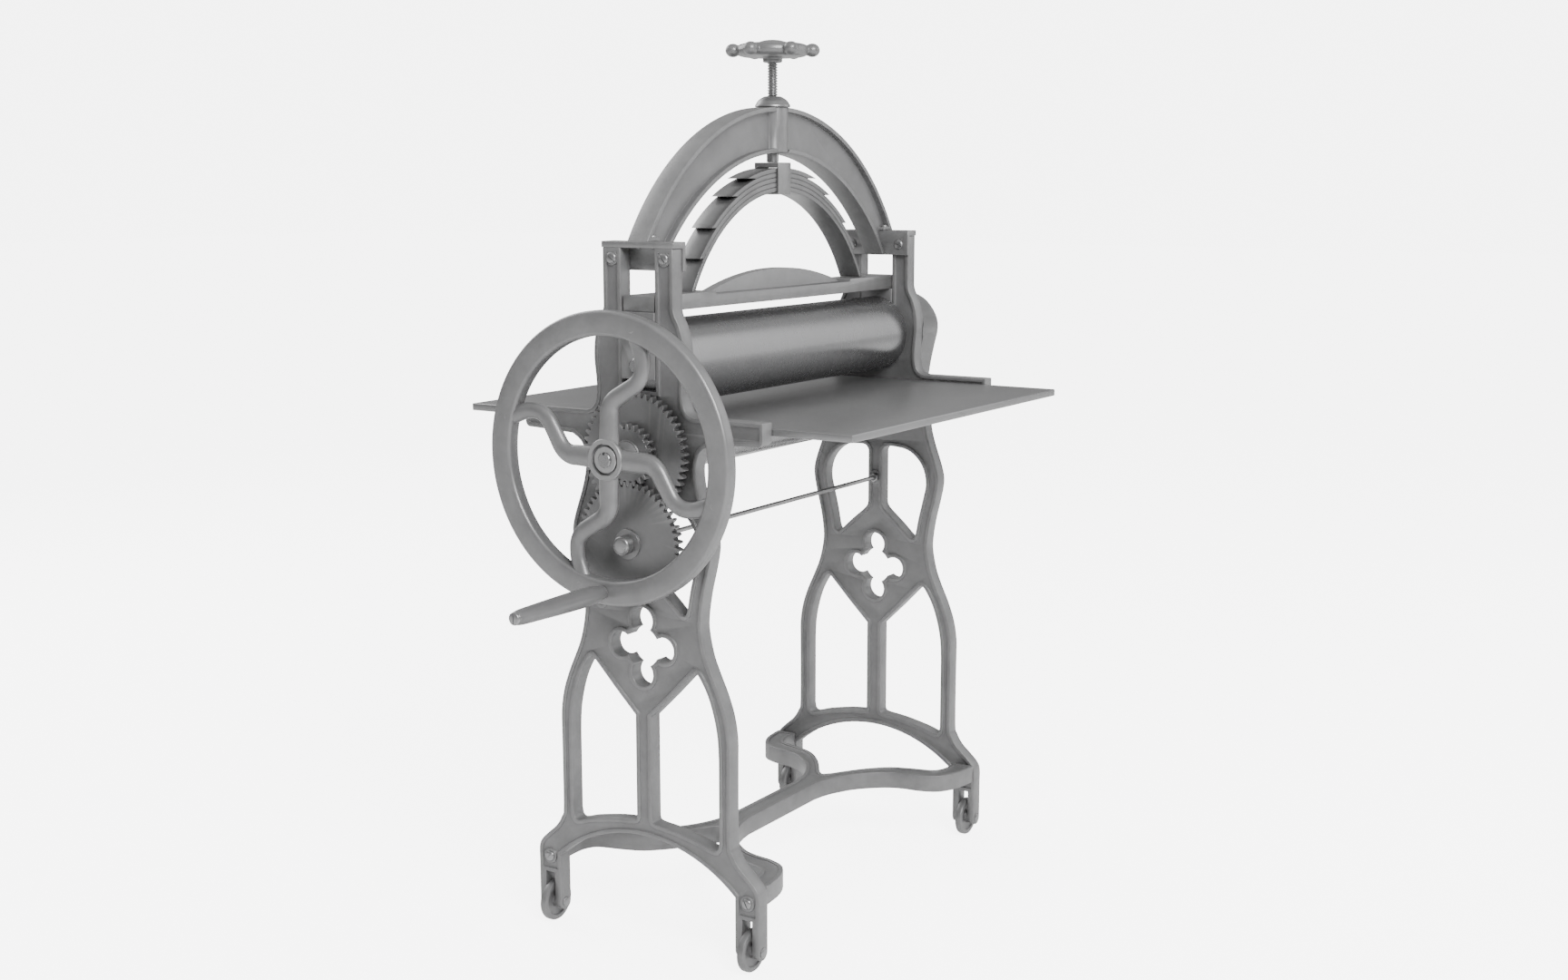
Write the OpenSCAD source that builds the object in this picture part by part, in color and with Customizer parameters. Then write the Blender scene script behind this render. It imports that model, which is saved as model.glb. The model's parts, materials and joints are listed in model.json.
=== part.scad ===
// Etching press: two cast side frames on casters, a geared handwheel that
// rolls the bed between two rollers, and a screw-loaded leaf-spring head.
// X runs along the rollers, Y is the bed's travel, Z is up from the floor.

/* [Frames] */
// Clear width between the two side frames
frame_gap = 724; // [600:1:870]
// Thickness of each side frame
frame_t = 26; // [20:1:34]
// Height of the drive axis, which sets the leg length
drive_z = 820; // [760:1:985]
// Width of the raised border around every frame edge
rim_w = 7; // [5:0.5:8]
// Depth of the sunk panels inside that border
web_sink = 3; // [1:0.5:5]
// Half width of the slot between the two posts of a frame
slot_half = 33; // [27:0.5:40]
// Half width over the two posts of a frame
post_half = 67; // [58:0.5:76]
// Half length of the guide arms that flank the bed
arm_half = 231; // [190:1:280]
// Depth of the bearing housing outside the far frame
housing_d = 60; // [40:1:80]

/* [Casters] */
// Radius of a caster wheel
caster_r = 35; // [30:0.5:40]
// Width of a caster wheel tread
caster_w = 12.5; // [9:0.5:15]
// Radius of a caster axle
caster_axle_r = 5; // [4:0.25:7]

/* [Bed and rollers] */
// Length of the bed along its travel
bed_l = 742; // [600:1:900]
// Thickness of the bed plate
bed_t = 12; // [8:0.5:20]
// Gap between the bed's edges and the side frames
bed_side_gap = 2; // [1:0.5:6]
// Radius of the lower roller
lower_r = 39.7; // [32:0.1:39.7]
// Radius of the upper roller
upper_r = 68.6; // [55:0.1:80]
// Radius of the roller journals
journal_r = 12; // [9:0.1:14.5]
// Open gap between the bed and the raised upper roller
nip = 16.9; // [12:0.1:24]

/* [Gears] */
// Gear module
gear_m = 3.8; // [3:0.1:3.8]
// Teeth on each large gear
gear_n = 50; // [40:1:50]
// Teeth on each pinion
pinion_n = 24; // [18:1:28]
// Face width of the gears
gear_w = 12; // [8:0.5:14]

/* [Handwheel] */
// Outer radius of the handwheel
wheel_r = 229; // [190:1:276]
// Radial width of the handwheel rim
wheel_rim = 39; // [28:0.5:46]
// Thickness of the handwheel rim
wheel_t = 25; // [18:0.5:30]
// Length of the turned handle grip
grip_l = 207.5; // [150:0.5:240]
// Largest radius of the handle grip
grip_r = 15; // [12:0.25:18]

/* [Pressure head] */
// Radius of the pressure screw
screw_r = 8.8; // [7:0.1:11]
// Thickness of one leaf spring
leaf_t = 7.7; // [5:0.1:9]
// Half width of the leaf springs
leaf_half = 21; // [16:0.5:26]
// Inside radius of the main leaf
leaf_r = 296.3; // [270:0.1:310]
// Gap between the crossbar and the posts on each side of it
bar_side_gap = 3; // [1:0.5:8]
// Depth of the bow from its underside to its top, at its middle
bow_depth = 76.4; // [60:0.1:96]
// Half width of the bow's flanges
bow_half = 19.5; // [15:0.5:26]
// Overall radius of the star handle
star_r = 80; // [60:1:100]

/* [Hidden] */

// Clearances between pieces
run = 0.05;
gap = 0.3;
hole_gap = 0.1;

// Shafts of the screws that join the pieces, and the pads around them
foot_screw_r = 5;
foot_pad_r = 13;
post_screw_r = 4;
post_pad_r = 12;
tie_r = 4;
tie_pad_r = 14;
stud_neck_r = 6;
bush_wall = 8;

// Positions across the press, measured from the middle of the frames
inner_x = frame_gap / 2;
outer_x = inner_x + frame_t;
frame_x = (inner_x + outer_x) / 2;
bed_half = inner_x - bed_side_gap;
barrel_half = inner_x - 4;

// Drive train positions
pitch_sum = gear_m * (gear_n + pinion_n) / 2;
back_z = drive_z - pitch_sum;
gear1_x = outer_x + 4;
gear2_x = gear1_x + gear_w + 5;
rim_x = outer_x + 65;
hub_end_x = rim_x + wheel_t;
shaft_end_x = hub_end_x + 2;
grip_x = hub_end_x + 0.5;
grip_end_x = grip_x + grip_l;
bolt_head_t = 3.7;
reach_x = grip_end_x + gap + bolt_head_t;
handle_y = 7;
handle_z = drive_z - wheel_r + wheel_rim / 2 + 1.5;

// The whole press is shifted so that its box is centred on the origin
mid_x = (reach_x - outer_x - housing_d) / 2;

// Heights of the bed, the rollers and the head
bed_z = drive_z + lower_r + gap;
bed_top = bed_z + bed_t;
upper_z = bed_top + nip + upper_r;
head_travel = nip - 0.4;
block_low = upper_z - 21.5;
slot_low = block_low - head_travel - 1.5;
bar_z = upper_z + 83.5;
bar_t = 25;
bar_top = bar_z + bar_t;
post_top = upper_z + 182;
cap_t = 10;
cap_top = post_top + cap_t;
cap_half = post_half + 2.4;
lip_t = 6.5;
lip_x = inner_x - lip_t;
lip_low = post_top - 35.5;
post_screw_y = (slot_half + post_half) / 2;
post_screw_z = post_top - 16;
bar_half = slot_half - bar_side_gap;

// Leaf springs and clamp
leaf_z = bar_top - 139;
leaf_pitch = leaf_t + gap;
leaf_cut = [140, 191, 239, 289, 318];
stack_r = leaf_r + 5 * leaf_pitch - gap;
clamp_z = leaf_z + stack_r + gap;
clamp_t = 8.7;
clamp_top = clamp_z + clamp_t;
clamp_half = 19.5;

// Radius of an arc that rises by the given height over a foot that far out
function arc_r(foot, rise) = (foot * foot + rise * rise) / (2 * rise);

// Bow: its top and its underside are arcs from its feet to its middle
bow_low = clamp_top + 16;
bow_top = bow_low + bow_depth;
bow_r = arc_r(outer_x - 1, bow_top - cap_top);
bow_z = bow_top - bow_r;
bow_in_r = arc_r(lip_x - 4.2, bow_low - lip_low);
bow_in_z = bow_low - bow_in_r;
bow_flange = 7.5;
web_half = 8;
nut_r = 14;
boss_r = 26;
pad_t = 6;
bolt_r = 3.4;
bolt_head_r = 5.2;
bolt_x = inner_x + 3.6;
bolt_y = 13.7;

// Pressure screw and star handle
tip_top = bow_low - gap;
nut_top = bow_top + 18;
hub_low = bow_top + 73.6;
star_low = hub_low + 9;
star_top = star_low + 23;

// Feet and casters
foot_in = 177;
foot_out = 222;
cheek_t = 13;
foot_y = (foot_in + foot_out) / 2;
crown_z = 2 * caster_r + 18;
cheek_gap = foot_out - foot_in - 2 * cheek_t;
arch_rise_z = 190;

// Stretcher
stretch_z = 110;
stretch_t = 31;
stretch_half = 20;
foot_screw_z = stretch_z + 6;

// Smooth curve through a list of hand-set points
function cr(a, b, c, d, t) =
  0.5 * (2 * b + (c - a) * t + (2 * a - 5 * b + 4 * c - d) * t * t
  + (3 * b - a - 3 * c + d) * t * t * t);
function smooth(p, n = 3) = concat(
  [for (i = [0 : len(p) - 2]) for (k = [0 : n - 1])
    cr(p[max(i - 1, 0)], p[i], p[i + 1], p[min(i + 2, len(p) - 1)], k / n)],
  [p[len(p) - 1]]);
function flip(p) = [for (i = [len(p) - 1 : -1 : 0]) [-p[i][0], p[i][1]]];
function arc(cy, cz, r, a0, a1, n = 8) =
  [for (k = [0 : n]) [cy + r * cos(a0 + (a1 - a0) * k / n), cz + r * sin(a0 + (a1 - a0) * k / n)]];

// Unit direction along a centre line at one of its points
function along(c, i) =
  let (d = c[min(i + 1, len(c) - 1)] - c[max(i - 1, 0)])
  d / norm(d);
function ribbon(c, w0, w1) = concat(
  [for (i = [0 : len(c) - 1]) let (d = along(c, i), w = w0 + (w1 - w0) * i / (len(c) - 1))
    c[i] + w * [-d[1], d[0]]],
  [for (i = [len(c) - 1 : -1 : 0]) let (d = along(c, i), w = w0 + (w1 - w0) * i / (len(c) - 1))
    c[i] - w * [-d[1], d[0]]]);

// Placement helpers
module centred() {
  translate([mid_x, 0, 0]) children();
}
// Draws a (Y, Z) outline as a plate from x0 to x1
module plate_x(x0, x1) {
  translate([x0, 0, 0]) rotate([90, 0, 90]) linear_extrude(x1 - x0) children();
}
// Draws an (X, Z) outline as a plate from -half to half in Y
module plate_y(half) {
  translate([0, half, 0]) rotate([90, 0, 0]) linear_extrude(2 * half) children();
}
// Round bar along X
module rod_x(x0, x1, r) {
  translate([x0, 0, 0]) rotate([0, 90, 0]) cylinder(h = x1 - x0, r = r, $fn = 64);
}
// Round bar along Y
module rod_y(y0, y1, r) {
  translate([0, y1, 0]) rotate([90, 0, 0]) cylinder(h = y1 - y0, r = r, $fn = 48);
}
// Slotted round-head screw along +X with the underside of its head at the origin
module screw_x(r, head_r, head_t, len) {
  difference() {
    union() {
      rod_x(-len, 0, r);
      rod_x(0, head_t, head_r);
    }
    translate([head_t - 1.6, -1, -head_r - 1]) cube([3, 2, 2 * head_r + 2]);
  }
}

// Outline of a side frame, one half, from the foot up to the guide arm
leg_edge = smooth([
  [foot_out, crown_z], [foot_out, 105], [foot_out, 128], [217, 142], [202, 157], [184, 173],
  [172, 192], [168, 212], [168, drive_z - 490], [168, drive_z - 445], [162, drive_z - 408],
  [150, drive_z - 374], [137, drive_z - 346], [124, drive_z - 315], [116, drive_z - 280],
  [115, drive_z - 255], [121, drive_z - 215], [130, drive_z - 178], [136, drive_z - 148],
  [136, drive_z - 128], [129, drive_z - 103], [117, drive_z - 70], [109, drive_z - 40],
  [108, drive_z - 12], [116, drive_z + 10], [134, drive_z + 22]
]);
arm_edge = concat(
  [[arm_half - 14, drive_z + 26]],
  arc(arm_half - 9, drive_z + 35, 9, -90, 0, 5),
  [[arm_half, drive_z + 62]]);
head_edge = smooth([
  [104, drive_z + 62], [93, drive_z + 66], [86, drive_z + 76], [83, drive_z + 95],
  [84, upper_z - 20], [87, upper_z + 9], [85, upper_z + 40], [78, upper_z + 64],
  [70, upper_z + 79], [post_half, upper_z + 90]
]);
half_edge = concat([[foot_in, crown_z]], leg_edge, arm_edge, head_edge, [[post_half, post_top]]);
// Underside of the foot arch, an arc between the two feet
foot_rise = arch_rise_z - 122;
foot_r = (foot_in * foot_in + foot_rise * foot_rise) / (2 * foot_rise);
foot_a = asin(foot_in / foot_r);
foot_edge = arc(0, arch_rise_z - foot_r, foot_r, 90 + foot_a, 90 - foot_a, 24);

lower_window = concat(
  smooth([[15, drive_z - 428], [56, drive_z - 388], [96, drive_z - 347], [104, drive_z - 343],
    [112, drive_z - 350], [127, drive_z - 376], [138, drive_z - 408], [145, drive_z - 443],
    [147, drive_z - 480]]),
  [[147, 206]],
  smooth([[145, 196], [137, 191], [110, 199], [60, 209], [24, 213], [16, 217], [15, 226]]));
upper_window = concat(
  smooth([[15, drive_z - 188], [20, drive_z - 200], [50, drive_z - 226], [76, drive_z - 250],
    [84, drive_z - 252], [89, drive_z - 243], [95, drive_z - 212], [104, drive_z - 175],
    [110, drive_z - 146], [105, drive_z - 118], [90, drive_z - 96], [68, drive_z - 82],
    [40, drive_z - 78], [22, drive_z - 79], [15, drive_z - 88]]));

module quatrefoil() {
  circle(r = 33, $fn = 48);
  for (s = [-1, 1]) {
    translate([0, 44 * s]) circle(r = 21, $fn = 48);
    translate([41.5 * s, 0]) circle(r = 20.5, $fn = 48);
  }
}

module frame_outline() {
  difference() {
    polygon(concat(half_edge, flip(half_edge), foot_edge));
    polygon(lower_window);
    polygon(flip(lower_window));
    polygon(upper_window);
    polygon(flip(upper_window));
    translate([0, drive_z - 314]) quatrefoil();
    translate([-slot_half, slot_low]) square([2 * slot_half, post_top]);
    translate([0, drive_z]) circle(r = journal_r + bush_wall + hole_gap, $fn = 64);
  }
}

module fork_cheeks() {
  for (s = [-1, 1], y = [foot_in, foot_out - cheek_t]) {
    y0 = s > 0 ? y : -y - cheek_t;
    difference() {
      union() {
        translate([frame_x - frame_t / 2, y0, caster_r]) cube([frame_t, cheek_t, crown_z - caster_r + 0.01]);
        translate([frame_x, 0, caster_r]) rod_y(y0, y0 + cheek_t, frame_t / 2);
      }
      translate([frame_x, 0, caster_r]) rod_y(y0 - 1, y0 + cheek_t + 1, caster_axle_r + run);
    }
  }
}

// Side frame on the +X side; the near one is its mirror image
module side_frame(post_bore) {
  difference() {
    plate_x(inner_x, outer_x) frame_outline();
    plate_x(inner_x - 1, inner_x + web_sink) offset(delta = -rim_w) frame_outline();
    plate_x(outer_x - web_sink, outer_x + 1) offset(delta = -rim_w) frame_outline();
    translate([0, 0, back_z]) rod_x(inner_x - 1, outer_x + 1, post_bore);
    for (s = [-1, 1]) {
      translate([0, s * foot_y, foot_screw_z]) rod_x(inner_x - 1, outer_x + 1, foot_screw_r + hole_gap);
      translate([0, s * post_screw_y, post_screw_z]) rod_x(inner_x - 1, outer_x + 1, post_screw_r + hole_gap);
    }
  }
  // Solid pads under the tie rod nuts and the foot and post screws
  difference() {
    union() {
      translate([0, 0, back_z]) rod_x(inner_x, outer_x, tie_pad_r);
      for (s = [-1, 1]) {
        translate([0, s * foot_y, foot_screw_z]) rod_x(inner_x, outer_x, foot_pad_r);
        translate([0, s * post_screw_y, post_screw_z]) rod_x(inner_x, outer_x, post_pad_r);
      }
    }
    translate([0, 0, back_z]) rod_x(inner_x - 1, outer_x + 1, post_bore);
    for (s = [-1, 1]) {
      translate([0, s * foot_y, foot_screw_z]) rod_x(inner_x - 1, outer_x + 1, foot_screw_r + hole_gap);
      translate([0, s * post_screw_y, post_screw_z]) rod_x(inner_x - 1, outer_x + 1, post_screw_r + hole_gap);
    }
  }
  fork_cheeks();
}

module side_frame_near() {
  color([0.5, 0.5, 0.5]) centred() mirror([1, 0, 0]) side_frame(stud_neck_r + hole_gap);
}

housing_edge = smooth([
  [66, drive_z + 40], [70, drive_z + 62], [73, drive_z + 80], [80, upper_z - 26],
  [87, upper_z + 6], [82, upper_z + 32], [62, upper_z + 58], [34, upper_z + 72], [0, upper_z + 76]
]);
module side_frame_far() {
  color([0.5, 0.5, 0.5]) centred() {
    side_frame(tie_r + hole_gap);
    // Bearing housing cast on the outside of the far head
    difference() {
      plate_x(outer_x - web_sink, outer_x + housing_d) polygon(concat(housing_edge, flip(housing_edge)));
      translate([outer_x - web_sink - 1, -slot_half, slot_low]) cube([web_sink + 1, 2 * slot_half, 400]);
      translate([0, 0, drive_z]) rod_x(outer_x - 10, outer_x + housing_d + 1, journal_r + 22);
    }
  }
}

module caster_axles() {
  color([0.6, 0.6, 0.6]) centred() for (x = [-frame_x, frame_x], s = [-1, 1]) {
    translate([x, s * foot_y, caster_r]) {
      rod_y(-(foot_out - foot_in) / 2 - 3, (foot_out - foot_in) / 2 + 3, caster_axle_r);
      for (e = [-1, 1]) {
        translate([0, e * ((foot_out - foot_in) / 2 + 1.5), 0]) rod_y(-1.5, 1.5, 8);
      }
    }
  }
}

module caster(x, y) {
  color([0.4, 0.4, 0.4]) centred() translate([x, y, caster_r]) rotate([90, 0, 0]) rotate_extrude($fn = 96) polygon([
    [caster_axle_r + run, -cheek_gap / 2 + gap], [11, -cheek_gap / 2 + gap], [12, -caster_w / 2 + 2.5],
    [24, -caster_w / 2 + 2.5], [26, -caster_w / 2], [caster_r - 1.5, -caster_w / 2],
    [caster_r, -caster_w / 2 + 1.5], [caster_r, caster_w / 2 - 1.5], [caster_r - 1.5, caster_w / 2],
    [26, caster_w / 2], [24, caster_w / 2 - 2.5], [12, caster_w / 2 - 2.5],
    [11, cheek_gap / 2 - gap], [caster_axle_r + run, cheek_gap / 2 - gap]
  ]);
}
module caster_near_front() { caster(-frame_x, -foot_y); }
module caster_near_back() { caster(-frame_x, foot_y); }
module caster_far_front() { caster(frame_x, -foot_y); }
module caster_far_back() { caster(frame_x, foot_y); }

// One quarter of the stretcher in plan: half the bar and one bowed arm
quarter_edge = concat(
  [[0, 0], [0, stretch_half], [inner_x - 252, stretch_half]],
  smooth([[inner_x - 232, 23], [inner_x - 205, 31], [inner_x - 166, 51], [inner_x - 137, 78],
    [inner_x - 118, 104], [inner_x - 109, 130], [inner_x - 104, 163], [inner_x - 88, 194],
    [inner_x - 52, 213], [inner_x - 7, 220]]),
  [[inner_x, 220], [inner_x, 180]],
  smooth([[inner_x - 7, 180], [inner_x - 36, 180], [inner_x - 56, 172], [inner_x - 65, 158],
    [inner_x - 73, 129], [inner_x - 89, 88], [inner_x - 121, 54], [inner_x - 152, 31],
    [inner_x - 181, 12], [inner_x - 192, 0]]));
module stretcher_outline() {
  for (a = [0, 1], b = [0, 1]) {
    mirror([a, 0]) mirror([0, b]) polygon(quarter_edge);
  }
}
module stretcher() {
  color([0.5, 0.5, 0.5]) centred() difference() {
    union() {
      translate([0, 0, stretch_z + 3]) linear_extrude(stretch_t - 6) stretcher_outline();
      translate([0, 0, stretch_z]) linear_extrude(stretch_t) difference() {
        stretcher_outline();
        offset(delta = -rim_w) stretcher_outline();
      }
      for (a = [-1, 1], b = [-1, 1]) {
        translate([a * (inner_x - 14), b * foot_y, foot_screw_z]) rod_x(-14, 14, foot_pad_r);
      }
    }
    for (a = [-1, 1], b = [-1, 1]) {
      translate([a * inner_x, b * foot_y, foot_screw_z]) rod_x(-20, 20, foot_screw_r + hole_gap);
    }
  }
}

module foot_screws() {
  color([0.6, 0.6, 0.6]) centred() for (a = [0, 1], b = [-1, 1]) {
    mirror([a, 0, 0]) translate([outer_x, b * foot_y, foot_screw_z]) screw_x(foot_screw_r, 9, 4, frame_t + 19);
  }
}

module tie_rod() {
  color([0.6, 0.6, 0.6]) centred() translate([0, 0, back_z]) rod_x(-inner_x + 0.5, outer_x + 12, tie_r);
}

module hex_nut(x0) {
  difference() {
    translate([x0, 0, back_z]) rotate([0, 90, 0]) cylinder(h = 7, r = 9, $fn = 6);
    translate([0, 0, back_z]) rod_x(x0 - 1, x0 + 8, tie_r + hole_gap);
  }
}
module tie_rod_nuts() {
  color([0.6, 0.6, 0.6]) centred() {
    hex_nut(-inner_x);
    hex_nut(inner_x - 7);
    hex_nut(outer_x);
  }
}

// Post cap on the +X side: a top plate with a lip inside the frame
module cap_side() {
  difference() {
    union() {
      translate([lip_x, -cap_half, post_top]) cube([outer_x - lip_x, 2 * cap_half, cap_t]);
      translate([lip_x, -cap_half, lip_low]) cube([lip_t, 2 * cap_half, post_top - lip_low + 1]);
    }
    for (s = [-1, 1]) {
      translate([0, s * post_screw_y, post_screw_z]) rod_x(lip_x - 1, inner_x + 1, post_screw_r + hole_gap);
      translate([bolt_x, s * bolt_y, post_top - 1]) cylinder(h = cap_t + 2, r = bolt_r + hole_gap, $fn = 32);
    }
  }
}
module cap_near() {
  color([0.55, 0.55, 0.55]) centred() mirror([1, 0, 0]) cap_side();
}
module cap_far() {
  color([0.55, 0.55, 0.55]) centred() cap_side();
}
module cap_screws() {
  color([0.6, 0.6, 0.6]) centred() for (a = [0, 1], s = [-1, 1]) {
    mirror([a, 0, 0]) translate([0, s * post_screw_y, post_screw_z]) {
      translate([outer_x, 0, 0]) screw_x(post_screw_r, 9, 3.5, 14);
      translate([lip_x, 0, 0]) mirror([1, 0, 0]) screw_x(post_screw_r, 9, 3.5, 14);
    }
  }
}

// Region of the bow above its feet, in (X, Z)
module bow_clip() {
  translate([-lip_x, lip_low]) square([2 * lip_x, 600]);
  translate([-outer_x, cap_top]) square([2 * outer_x, 600]);
}
module ring_between(r0, r1, z0, z1) {
  difference() {
    translate([0, z1]) circle(r = r1, $fn = 180);
    translate([0, z0]) circle(r = r0, $fn = 180);
  }
}
module arch() {
  color([0.5, 0.5, 0.5]) centred() difference() {
    union() {
      plate_y(web_half) intersection() {
        ring_between(bow_in_r, bow_r, bow_in_z, bow_z);
        bow_clip();
      }
      plate_y(bow_half) intersection() {
        ring_between(bow_r - bow_flange, bow_r, bow_z, bow_z);
        bow_clip();
      }
      plate_y(bow_half) intersection() {
        ring_between(bow_in_r, bow_in_r + bow_flange, bow_in_z, bow_in_z);
        bow_clip();
      }
      translate([0, 0, bow_low + 1]) cylinder(h = bow_top - bow_low - 1, r = boss_r, $fn = 96);
      // Foot blocks that stand on the caps, one on each side of the web
      for (a = [0, 1]) {
        mirror([a, 0, 0]) translate([lip_x - 2, -bow_half, cap_top]) cube([25, 2 * bow_half, pad_t]);
      }
    }
    translate([0, 0, bow_low - 20]) cylinder(h = 200, r = nut_r + hole_gap, $fn = 96);
    for (a = [-1, 1], s = [-1, 1]) {
      translate([a * bolt_x, s * bolt_y, cap_top - 1]) cylinder(h = pad_t + 2, r = bolt_r + hole_gap, $fn = 32);
      // Room for the bolt's head under a low flange
      translate([a * bolt_x, s * bolt_y, cap_top + pad_t]) {
        cylinder(h = 4.5 + gap, r = bolt_head_r + hole_gap, $fn = 32);
      }
    }
  }
}
// Bolts with slotted heads that hold the bow's feet down on the caps
module arch_bolts() {
  color([0.6, 0.6, 0.6]) centred() for (a = [-1, 1], s = [-1, 1]) {
    translate([a * bolt_x, s * bolt_y, cap_top]) difference() {
      union() {
        translate([0, 0, -cap_t - 2]) cylinder(h = cap_t + pad_t + 3, r = bolt_r, $fn = 32);
        translate([0, 0, pad_t]) cylinder(h = 4.5, r = bolt_head_r, $fn = 32);
      }
      translate([-8, -0.8, pad_t + 3]) cube([16, 1.6, 3]);
    }
  }
}

module screw_nut() {
  color([0.6, 0.6, 0.6]) centred() rotate_extrude($fn = 96) polygon([
    [screw_r + run, bow_low + 1], [nut_r, bow_low + 1], [nut_r, bow_top], [30, bow_top],
    [30, bow_top + 4.5], [28, bow_top + 5], [25.5, bow_top + 10], [21, bow_top + 14.5],
    [15, nut_top], [screw_r + run, nut_top]
  ]);
}

// Flanged bushes that carry the lower roller in both frames
module bush() {
  difference() {
    union() {
      rod_x(inner_x, outer_x, journal_r + bush_wall);
      rod_x(outer_x, outer_x + 2.5, journal_r + bush_wall + 6);
    }
    rod_x(inner_x - 1, outer_x + 4, journal_r + run);
  }
}
module lower_bushes() {
  color([0.65, 0.6, 0.45]) centred() translate([0, 0, drive_z]) {
    bush();
    mirror([1, 0, 0]) bush();
  }
}

module bed() {
  color([0.65, 0.65, 0.65]) centred() translate([-bed_half, -bed_l / 2, bed_z]) cube([2 * bed_half, bed_l, bed_t]);
}

module lower_roller() {
  color([0.6, 0.6, 0.6]) centred() translate([0, 0, drive_z]) {
    rod_x(-barrel_half, barrel_half, lower_r);
    rod_x(-inner_x + 1, inner_x - 1, journal_r + 6);
    rod_x(-shaft_end_x, outer_x + 10, journal_r);
  }
}

// Involute gear outline with a tooth at the angle given
pressure = 20;
backlash = 0.2;
function invol(a) = tan(a) * 180 / PI - a;
function flank(r, n) =
  let (pr = gear_m * n / 2)
  90 / n - backlash / pr * 180 / PI + invol(pressure) - invol(acos(min(1, pr * cos(pressure) / r)));
function tooth(n, a0) =
  let (
    pr = gear_m * n / 2,
    low = pr - 1.25 * gear_m,
    foot = max(low, pr * cos(pressure)),
    tip = pr + gear_m,
    rs = concat([low], [for (k = [0 : 4]) foot + 0.01 + (tip - foot - 0.01) * k / 4])
  )
  concat(
    [for (k = [0 : 5]) let (a = a0 - flank(max(rs[k], foot), n)) rs[k] * [cos(a), sin(a)]],
    [for (k = [5 : -1 : 0]) let (a = a0 + flank(max(rs[k], foot), n)) rs[k] * [cos(a), sin(a)]]);
module gear_outline(n, a0) {
  polygon([for (i = [0 : n - 1]) for (p = tooth(n, a0 + 360 * i / n)) p]);
}

// A toothed disc on the near side, between two distances from the middle
module gear(x0, x1, n, a0) {
  plate_x(-x1, -x0) gear_outline(n, a0);
}

module roller_gear() {
  color([0.6, 0.6, 0.6]) centred() translate([0, 0, drive_z]) difference() {
    union() {
      gear(gear1_x, gear1_x + gear_w, gear_n, -90);
      rod_x(-gear1_x - gear_w - 2, -gear1_x + 1, journal_r + 14);
    }
    rod_x(-shaft_end_x, -outer_x, journal_r + run);
  }
}

stud_r = 10;
module back_gear_stud() {
  color([0.6, 0.6, 0.6]) centred() translate([0, 0, back_z]) {
    rod_x(-outer_x, -inner_x - 0.5, stud_neck_r);
    rod_x(-outer_x - 3.5, -outer_x, 16);
    rod_x(-gear2_x - gear_w - 4, -outer_x - 3, stud_r);
    rod_x(-gear2_x - gear_w - 21.5, -gear2_x - gear_w - 3.6, 15);
  }
}
module back_pinion() {
  color([0.6, 0.6, 0.6]) centred() translate([0, 0, back_z]) difference() {
    union() {
      gear(gear1_x, gear1_x + gear_w, pinion_n, 90 + 180 / pinion_n);
      rod_x(-gear2_x, -gear1_x - gear_w, 22);
    }
    rod_x(-gear2_x - 40, -outer_x, stud_r + run);
  }
}
module back_gear() {
  color([0.6, 0.6, 0.6]) centred() translate([0, 0, back_z]) difference() {
    union() {
      gear(gear2_x, gear2_x + gear_w, gear_n, 90 + 180 / gear_n);
      rod_x(-gear2_x - gear_w - 3, -gear2_x - 1, 24);
    }
    rod_x(-gear2_x - 40, -outer_x, stud_r + run);
  }
}

module handwheel_pinion() {
  color([0.6, 0.6, 0.6]) centred() translate([0, 0, drive_z]) difference() {
    union() {
      gear(gear2_x, gear2_x + gear_w, pinion_n, -90);
      rod_x(-gear2_x - gear_w - 2, -gear2_x + 1, journal_r + 12);
    }
    rod_x(-shaft_end_x, -outer_x, journal_r + run);
  }
}

hub_r = journal_r + 21;
// One S-shaped spoke, as seen from outside the press, sized to the wheel's opening
spoke_size = (wheel_r - wheel_rim) / 190;
spoke_line = smooth(concat([[hub_r - 3, 0]], spoke_size * [
  [55, 0], [76, 0], [92, 9], [107, 31], [121, 51], [138, 61], [160, 61], [180, 55], [198, 50]
]));
module wheel_spokes() {
  for (k = [0 : 3]) {
    rotate(-1.5 + 90 * k) mirror([0, 1]) polygon(ribbon(spoke_line, 12.5, 9));
  }
}
rim_c = rim_x + wheel_t / 2;
module handwheel() {
  color([0.5, 0.5, 0.5]) centred() translate([0, 0, drive_z]) difference() {
    union() {
      rotate([0, -90, 0]) rotate_extrude($fn = 180) polygon([
        [wheel_r - wheel_rim, rim_c - 5], [wheel_r - wheel_rim, rim_c + 5],
        [wheel_r - wheel_rim + 8, rim_x + wheel_t], [wheel_r - 7, rim_x + wheel_t],
        [wheel_r, rim_c + 6], [wheel_r, rim_c - 6],
        [wheel_r - 7, rim_x], [wheel_r - wheel_rim + 8, rim_x]
      ]);
      intersection() {
        plate_x(-rim_c - 10, -rim_c + 10) mirror([1, 0]) wheel_spokes();
        rod_x(-rim_c - 20, -rim_c + 20, wheel_r - wheel_rim + 4);
      }
      rod_x(-hub_end_x, -rim_x, hub_r);
      rod_x(-rim_x - 1, -gear2_x - gear_w - 2, journal_r + 10);
    }
    rod_x(-hub_end_x - 1, -gear2_x, journal_r + run);
    rod_x(-hub_end_x - 1, -hub_end_x + 6, journal_r + 13);
    translate([0, handle_y, handle_z - drive_z]) rod_x(-hub_end_x - 1, -rim_x + 1, 6 + hole_gap);
  }
}

module shaft_collar() {
  color([0.6, 0.6, 0.6]) centred() translate([0, 0, drive_z]) difference() {
    rod_x(-hub_end_x + 1, -hub_end_x + 6 - gap, journal_r + 9);
    rod_x(-hub_end_x - 1, -hub_end_x + 8, journal_r + run);
  }
}

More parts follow.
